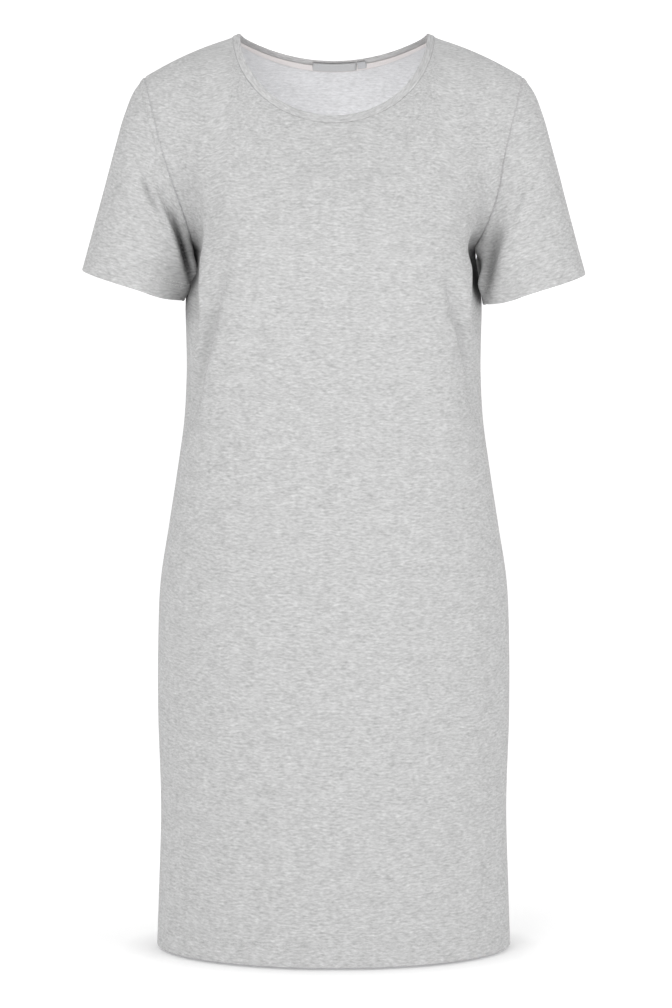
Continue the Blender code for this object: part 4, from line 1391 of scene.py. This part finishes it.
knit, knit_in, knit_out = new_group("jersey_knit", {"Cloth Place": "Vector"}, {"Height": "Float"})
knit_place = split(knit, knit_in["Cloth Place"])
leg = maths(knit, "PINGPONG", maths(knit, "DIVIDE", knit_place["X"], WALE), 0.5)
yarn_round = maths(knit, "SINE", maths(knit, "MULTIPLY", leg, 2 * math.pi))
course = maths(knit, "DIVIDE", knit_place["Y"], COURSE)
leaning = maths(knit, "ADD", course, maths(knit, "MULTIPLY", leg, LEAN))
loop_wave = maths(knit, "SINE", maths(knit, "MULTIPLY", leaning, 2 * math.pi))
loop_share = maths(knit, "MULTIPLY", maths(knit, "ADD", loop_wave, 1.0), 0.25)
knit_height = maths(knit, "ADD", maths(knit, "MULTIPLY", yarn_round, 0.5), loop_share)
knit.links.new(knit_height, knit_out["Height"])
print("nodes in", knit.name, len(knit.nodes))

# %% [markdown]
# ## Woven trims
# The tape and the labels are woven, so their threads cross at right angles. Two sine waves show them,
# one for the threads across and one for those along. The finer the thread, the smoother the cloth looks.

# %% Woven threads
# The strips are darker within a little of their edges: painted shade for the shadow lines along the
# labels' and the tape's edges.
PAINTED_EDGE_SHADE_WIDTH = 0.8 * MM
PAINTED_EDGE_SHADE = 0.8
SLUB_SCALE = 900.0
SLUB_LEAST, SLUB_SPREAD = 0.9, 0.2


def slub_shade(tree, place):
    """A shade around 1 that changes from thread to thread."""
    slub = add_node(tree, "TexNoise", {"Vector": place, "Scale": SLUB_SCALE, "Detail": 2.0})
    spread = maths(tree, "MULTIPLY", slub.outputs["Fac"], SLUB_SPREAD)
    return maths(tree, "ADD", spread, SLUB_LEAST)


woven, woven_in, woven_out = new_group(
    "woven_threads", {"Cloth Place": "Vector", "Size": "Vector", "Thread": "Float"},
    {"Height": "Float", "Shade": "Float"},
)
woven_place, woven_size = split(woven, woven_in["Cloth Place"]), split(woven, woven_in["Size"])
thread_waves, from_edges = [], []
for direction in ("X", "Y"):
    here = woven_place[direction]
    count = maths(woven, "DIVIDE", here, woven_in["Thread"])
    thread_waves.append(maths(woven, "SINE", maths(woven, "MULTIPLY", count, 2 * math.pi)))
    from_end = maths(woven, "SUBTRACT", woven_size[direction], here)
    from_edges.append(maths(woven, "MINIMUM", from_end, here))
crossing = maths(woven, "MULTIPLY", *thread_waves)
# Painted shade along the strip's edges.
painted_edge_shade = add_node(
    woven, "MapRange",
    {"Value": maths(woven, "MINIMUM", *from_edges), "From Max": PAINTED_EDGE_SHADE_WIDTH, "To Min": PAINTED_EDGE_SHADE},
    interpolation_type="SMOOTHSTEP",
)
slubs = slub_shade(woven, woven_in["Cloth Place"])
woven.links.new(maths(woven, "ADD", maths(woven, "MULTIPLY", crossing, 0.5), 0.5), woven_out["Height"])
woven.links.new(maths(woven, "MULTIPLY", slubs, painted_edge_shade.outputs["Result"]), woven_out["Shade"])
print("nodes in", woven.name, len(woven.nodes))

# %% [markdown]
# ## Materials
# Cotton jersey is matte, with a faint sheen of loose fibres at grazing angles. Its wrong side, which is
# seen through the neck, is paler and smoother; part of the paleness is painted light on the inside of the
# back. The band's inner side is darker, which is painted shade. One attribute marks the wrong side, and
# another darkens the sheltered places with painted shade.

# %% Jersey material
KNIT_RELIEF = 0.10 * MM
STREAK_RELIEF = 0.6             # how far a light streak stands out, in knit heights


def finish_surface(tree, surface, colour, height, relief):
    """Links a colour and a bump of the given relief into the Principled shader's sockets."""
    bump = add_node(tree, "Bump", {"Strength": 1.0, "Distance": relief, "Height": height})
    tree.links.new(colour, surface["Base Color"])
    tree.links.new(bump.outputs["Normal"], surface["Normal"])


def jersey_material(name, dark, light, inside_dark, inside):
    """Jersey in two greys, with its wrong side's own dark grey and a tint over that side, which paints
    light there where it is above 1 and shade where it is below 1.
    """
    material, tree, surface = start_material(name, roughness=0.92, specular=0.25, sheen=0.08)
    place = add_node(tree, "UVMap", uv_map="cloth").outputs["UV"]
    wrong_side = add_node(tree, "Attribute", attribute_name="wrong_side").outputs["Fac"]
    shelter = add_node(tree, "Attribute", attribute_name="sheltered").outputs["Fac"]
    dark_here = mix_colours(tree, wrong_side, grey(dark), grey(inside_dark))
    yarn_inputs = {"Cloth Place": place, "Dark": dark_here, "Light": grey(light)}
    yarn = add_node(tree, "Group", yarn_inputs, node_tree=heather)
    # The tint over the wrong side paints light where it is above 1 and shade where it is below 1.
    wrong_side_painted_light_and_shade = mix_colours(tree, wrong_side, yarn.outputs["Color"], inside, "MULTIPLY")
    # Painted shade: the sheltered places are darkened towards black.
    shaded = mix_colours(tree, shelter, wrong_side_painted_light_and_shade, grey(0), "MULTIPLY")
    loops = add_node(tree, "Group", {"Cloth Place": place}, node_tree=knit)
    streak_height = maths(tree, "MULTIPLY", yarn.outputs["Streak"], STREAK_RELIEF)
    height = maths(tree, "ADD", loops.outputs["Height"], streak_height)
    finish_surface(tree, surface, shaded, height, KNIT_RELIEF)
    return material


# The body's wrong side is tinted paler, partly as painted light; the band's inner side is tinted darker,
# as painted shade.
body_jersey = jersey_material(
    "heather_jersey", dark=0.33, light=0.685, inside_dark=0.43, inside=(1.07, 1.07, 1.088, 1)
)
neck_jersey = jersey_material(
    "band_jersey", dark=0.35, light=0.68, inside_dark=0.38, inside=(0.85, 0.835, 0.835, 1)
)
print("jersey materials:", body_jersey.name, neck_jersey.name)

# %% Tape, label and thread materials
WEAVE_RELIEF = 0.08 * MM


def woven_material(name, colour, thread, roughness, sheen, strip):
    material, tree, surface = start_material(name, roughness, specular=0.3, sheen=sheen)
    width, height = walls[strip].grain[-1, -1]
    place = add_node(tree, "UVMap", uv_map="cloth").outputs["UV"]
    weave_inputs = {"Cloth Place": place, "Thread": thread, "Size": (width, height, 0)}
    weave = add_node(tree, "Group", weave_inputs, node_tree=woven).outputs
    shaded = mix_colours(tree, 1.0, colour, weave["Shade"], "MULTIPLY")
    finish_surface(tree, surface, shaded, weave["Height"], WEAVE_RELIEF)
    return material


def thread_material(name, colour):
    """Thread is too fine for a weave to show, so it only varies a little in colour."""
    material, tree, surface = start_material(name, roughness=0.7, specular=0.3, sheen=0.1)
    slubs = slub_shade(tree, add_node(tree, "TexCoord").outputs["Object"])
    tree.links.new(mix_colours(tree, 1.0, colour, slubs, "MULTIPLY"), surface["Base Color"])
    return material


tape_cotton = woven_material("beige_tape", (0.62, 0.585, 0.58, 1), 0.9 * MM, 0.85, 0.1, "neck_tape")
grey_label = woven_material("grey_label", (0.45, 0.45, 0.455, 1), 0.35 * MM, 0.6, 0.0, "main_label")
pale_label = woven_material("pale_label", (0.46, 0.462, 0.475, 1), 0.35 * MM, 0.6, 0.0, "size_label")
grey_thread = thread_material("grey_thread", grey(0.60))
print("trim materials:", tape_cotton.name, grey_label.name, pale_label.name, grey_thread.name)

# %% [markdown]
# ## From points to cloth
# A grid's faces are made by `create_grid`, and its vertices then move to their worked-out places.
# Extruding all the faces gives the wall its other side, and the new vertices move to the inner points.
# A layer on the vertices remembers which point of the grid each one is, so the UV map can use it later.

# %% Piece maker
MERGE = 0.01 * MM
SEAM_EDGE_DEGREES = 60


def cloth_piece(name, material, closed):
    """A closed wall of cloth from the points in `walls`. closed joins its first and last columns."""
    wall = walls[name]
    rows, cols = wall.outer.shape[:2]
    cloth = bmesh.new()
    place = cloth.verts.layers.int.new("place")
    wrong_side = cloth.verts.layers.float.new("wrong_side")
    shelter = cloth.verts.layers.float.new("sheltered")
    shelter_share = sheltered[name].ravel() if name in sheltered else np.zeros(rows * cols)
    bmesh.ops.create_grid(cloth, x_segments=cols - 1, y_segments=rows - 1, size=1)
    outer_points, inner_points = wall.outer.reshape(-1, 3), wall.inner.reshape(-1, 3)
    for number, vertex in enumerate(cloth.verts):
        vertex[place] = number
        vertex[shelter] = shelter_share[number]
        vertex.co = outer_points[number]
    if closed:
        bmesh.ops.remove_doubles(cloth, verts=cloth.verts, dist=MERGE)
    grown = bmesh.ops.extrude_face_region(cloth, geom=cloth.faces[:])
    for part in grown["geom"]:
        if isinstance(part, bmesh.types.BMVert):
            part.co = inner_points[part[place]]
            part[wrong_side] = 1.0
    bmesh.ops.recalc_face_normals(cloth, faces=cloth.faces)
    mesh = mesh_from(name, cloth)
    lay_cloth_uv(mesh, wall.grain, closed)
    mesh.shade_smooth()
    mesh.set_sharp_from_angle(angle=math.radians(SEAM_EDGE_DEGREES))
    mesh.materials.append(material)
    return add_object(name + "_cloth", mesh)


def lay_cloth_uv(mesh, grain, closed):
    """The UV map: each point's place on the flat cloth, in metres."""
    cols = grain.shape[1]
    place_of = np.empty(len(mesh.vertices), dtype=np.int32)
    mesh.attributes["place"].data.foreach_get("value", place_of)
    corners = np.empty(len(mesh.loops), dtype=np.int32)
    mesh.loops.foreach_get("vertex_index", corners)
    row, col = np.divmod(place_of[corners], cols)
    if closed:
        by_face = (col % (cols - 1)).reshape(-1, 4)
        across_join = by_face.max(axis=1, keepdims=True) - by_face.min(axis=1, keepdims=True) > 1
        col = np.where(across_join & (by_face == 0), cols - 1, by_face).reshape(-1)
    layer = mesh.uv_layers.new(name="cloth")
    layer.uv.foreach_set("vector", grain[row, col].astype(np.float32).ravel())
    mesh.attributes.remove(mesh.attributes["place"])


Piece = namedtuple("Piece", "wall node material slot")
PIECES = [
    Piece("front", "front_panel", body_jersey, "heather_jersey"),
    Piece("back", "back_panel", body_jersey, "heather_jersey"),
    Piece("right", "sleeve_right", body_jersey, "heather_jersey"),
    Piece("left", "sleeve_left", body_jersey, "heather_jersey"),
    Piece("band", "neckband", neck_jersey, "band_jersey"),
    Piece("neck_tape", "neck_tape", tape_cotton, "beige_tape"),
    Piece("main_label", "main_label", grey_label, "grey_label"),
    Piece("size_label", "size_label", pale_label, "pale_label"),
]
TUBES = ("right", "left", "band")
made = {}
for piece in PIECES:
    made[piece.wall] = cloth_piece(piece.wall, piece.material, closed=piece.wall in TUBES)
    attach(made[piece.wall], "root")
    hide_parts(piece.node)
print("pieces:", {name: len(made[name].data.polygons) for name in made})

# %% [markdown]
# ## Stitches
# A hem is sewn with a twin needle, which leaves two rows of short thread. Each stitch is a small grain of
# six-sided thread. One is modelled, and copies of it are set along lines that follow the cloth.

# %% Stitch rows
STITCH_LENGTH = 2.5 * MM
STITCH_PITCH = 3.0 * MM
THREAD_RADIUS = 0.22 * MM
THREAD_LIFT = 0.05 * MM


def stitch_mesh():
    grain = bmesh.new()
    bmesh.ops.create_uvsphere(grain, u_segments=6, v_segments=4, radius=1)
    bmesh.ops.rotate(grain, verts=grain.verts, cent=(0, 0, 0), matrix=Matrix.Rotation(math.pi / 2, 3, "Y"))
    bmesh.ops.scale(grain, verts=grain.verts, vec=(STITCH_LENGTH / 2, THREAD_RADIUS, THREAD_RADIUS))
    return mesh_from("stitch", grain)


def line_across(outer, facing, distance, at):
    """The line over a grid's columns at a given distance along them, with the way the cloth faces."""
    line, out = (
        np.stack([points_at(at, distance[:, column], grid[:, column]) for column in range(grid.shape[1])])
        for grid in (outer, facing)
    )
    return line, unit(out)


def stitches_along(line, out):
    """The centre, direction and outward direction of each stitch on a line."""
    run = lengths_along(line, axis=0)
    count = int(run[-1] // STITCH_PITCH)
    at = (np.arange(count) + 0.5) * run[-1] / count
    quarter = STITCH_PITCH / 4
    start, centre, end = (points_at(at + step, run, line) for step in (-quarter, 0, quarter))
    return zip(centre, unit(end - start), unit(points_at(at, run, out)))


def sew(name, lines, material):
    """One mesh of all the stitches along the lines."""
    thread = bmesh.new()
    for line, out in lines:
        for centre, along, facing in stitches_along(line, out):
            before = len(thread.verts)
            thread.from_mesh(one_stitch)
            thread.verts.ensure_lookup_table()
            turn = Matrix((along, np.cross(facing, along), facing)).transposed().to_4x4()
            turn.translation = Vector(centre + facing * THREAD_LIFT)
            bmesh.ops.transform(thread, matrix=turn, verts=thread.verts[before:])
    bmesh.ops.recalc_face_normals(thread, faces=thread.faces)
    mesh = mesh_from(name, thread)
    mesh.shade_smooth()
    mesh.materials.append(material)
    return add_object(name, mesh)


one_stitch = stitch_mesh()
print("faces in one stitch:", len(one_stitch.polygons))

# %% Hem stitches
threads = {}
for name in ("front", "back", "right", "left"):
    outer, facing, run = walls[name].outer, normals[name], lengths_along(sheets[name], axis=0)
    rows_at = HEM_ROWS_AT
    if name in TUBES:
        outer, facing, run = outer[::-1], facing[::-1], (run[-1:] - run)[::-1]
        rows_at = SLEEVE_HEM_ROWS_AT
    lines = [line_across(outer, facing, run, row_at) for row_at in rows_at]
    threads[name] = sew(name + "_hem_stitches", lines, grey_thread)
    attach(threads[name], "root")
print("faces in stitches:", {name: len(threads[name].data.polygons) for name in threads})

# %% [markdown]
# ## What each sheet was cut from
# A garment's pieces are cut flat. Each piece's flat size is measured on the sheet: its greatest width
# and length along the surface.


def flat_size(name):
    across, up = spans(sheets[name])
    width, length = float(across[:, -1].max()), float(up[-1].max())
    print(name, "flat:", round(width, 3), "by", round(length, 3))
    return width, length


for name in ("front", "back", "right", "left"):
    on_it = [threads[name]]
    if name == "back":
        on_it += [made["neck_tape"], made["main_label"], made["size_label"]]
    flat_size(name)
flat_size("band")[0]
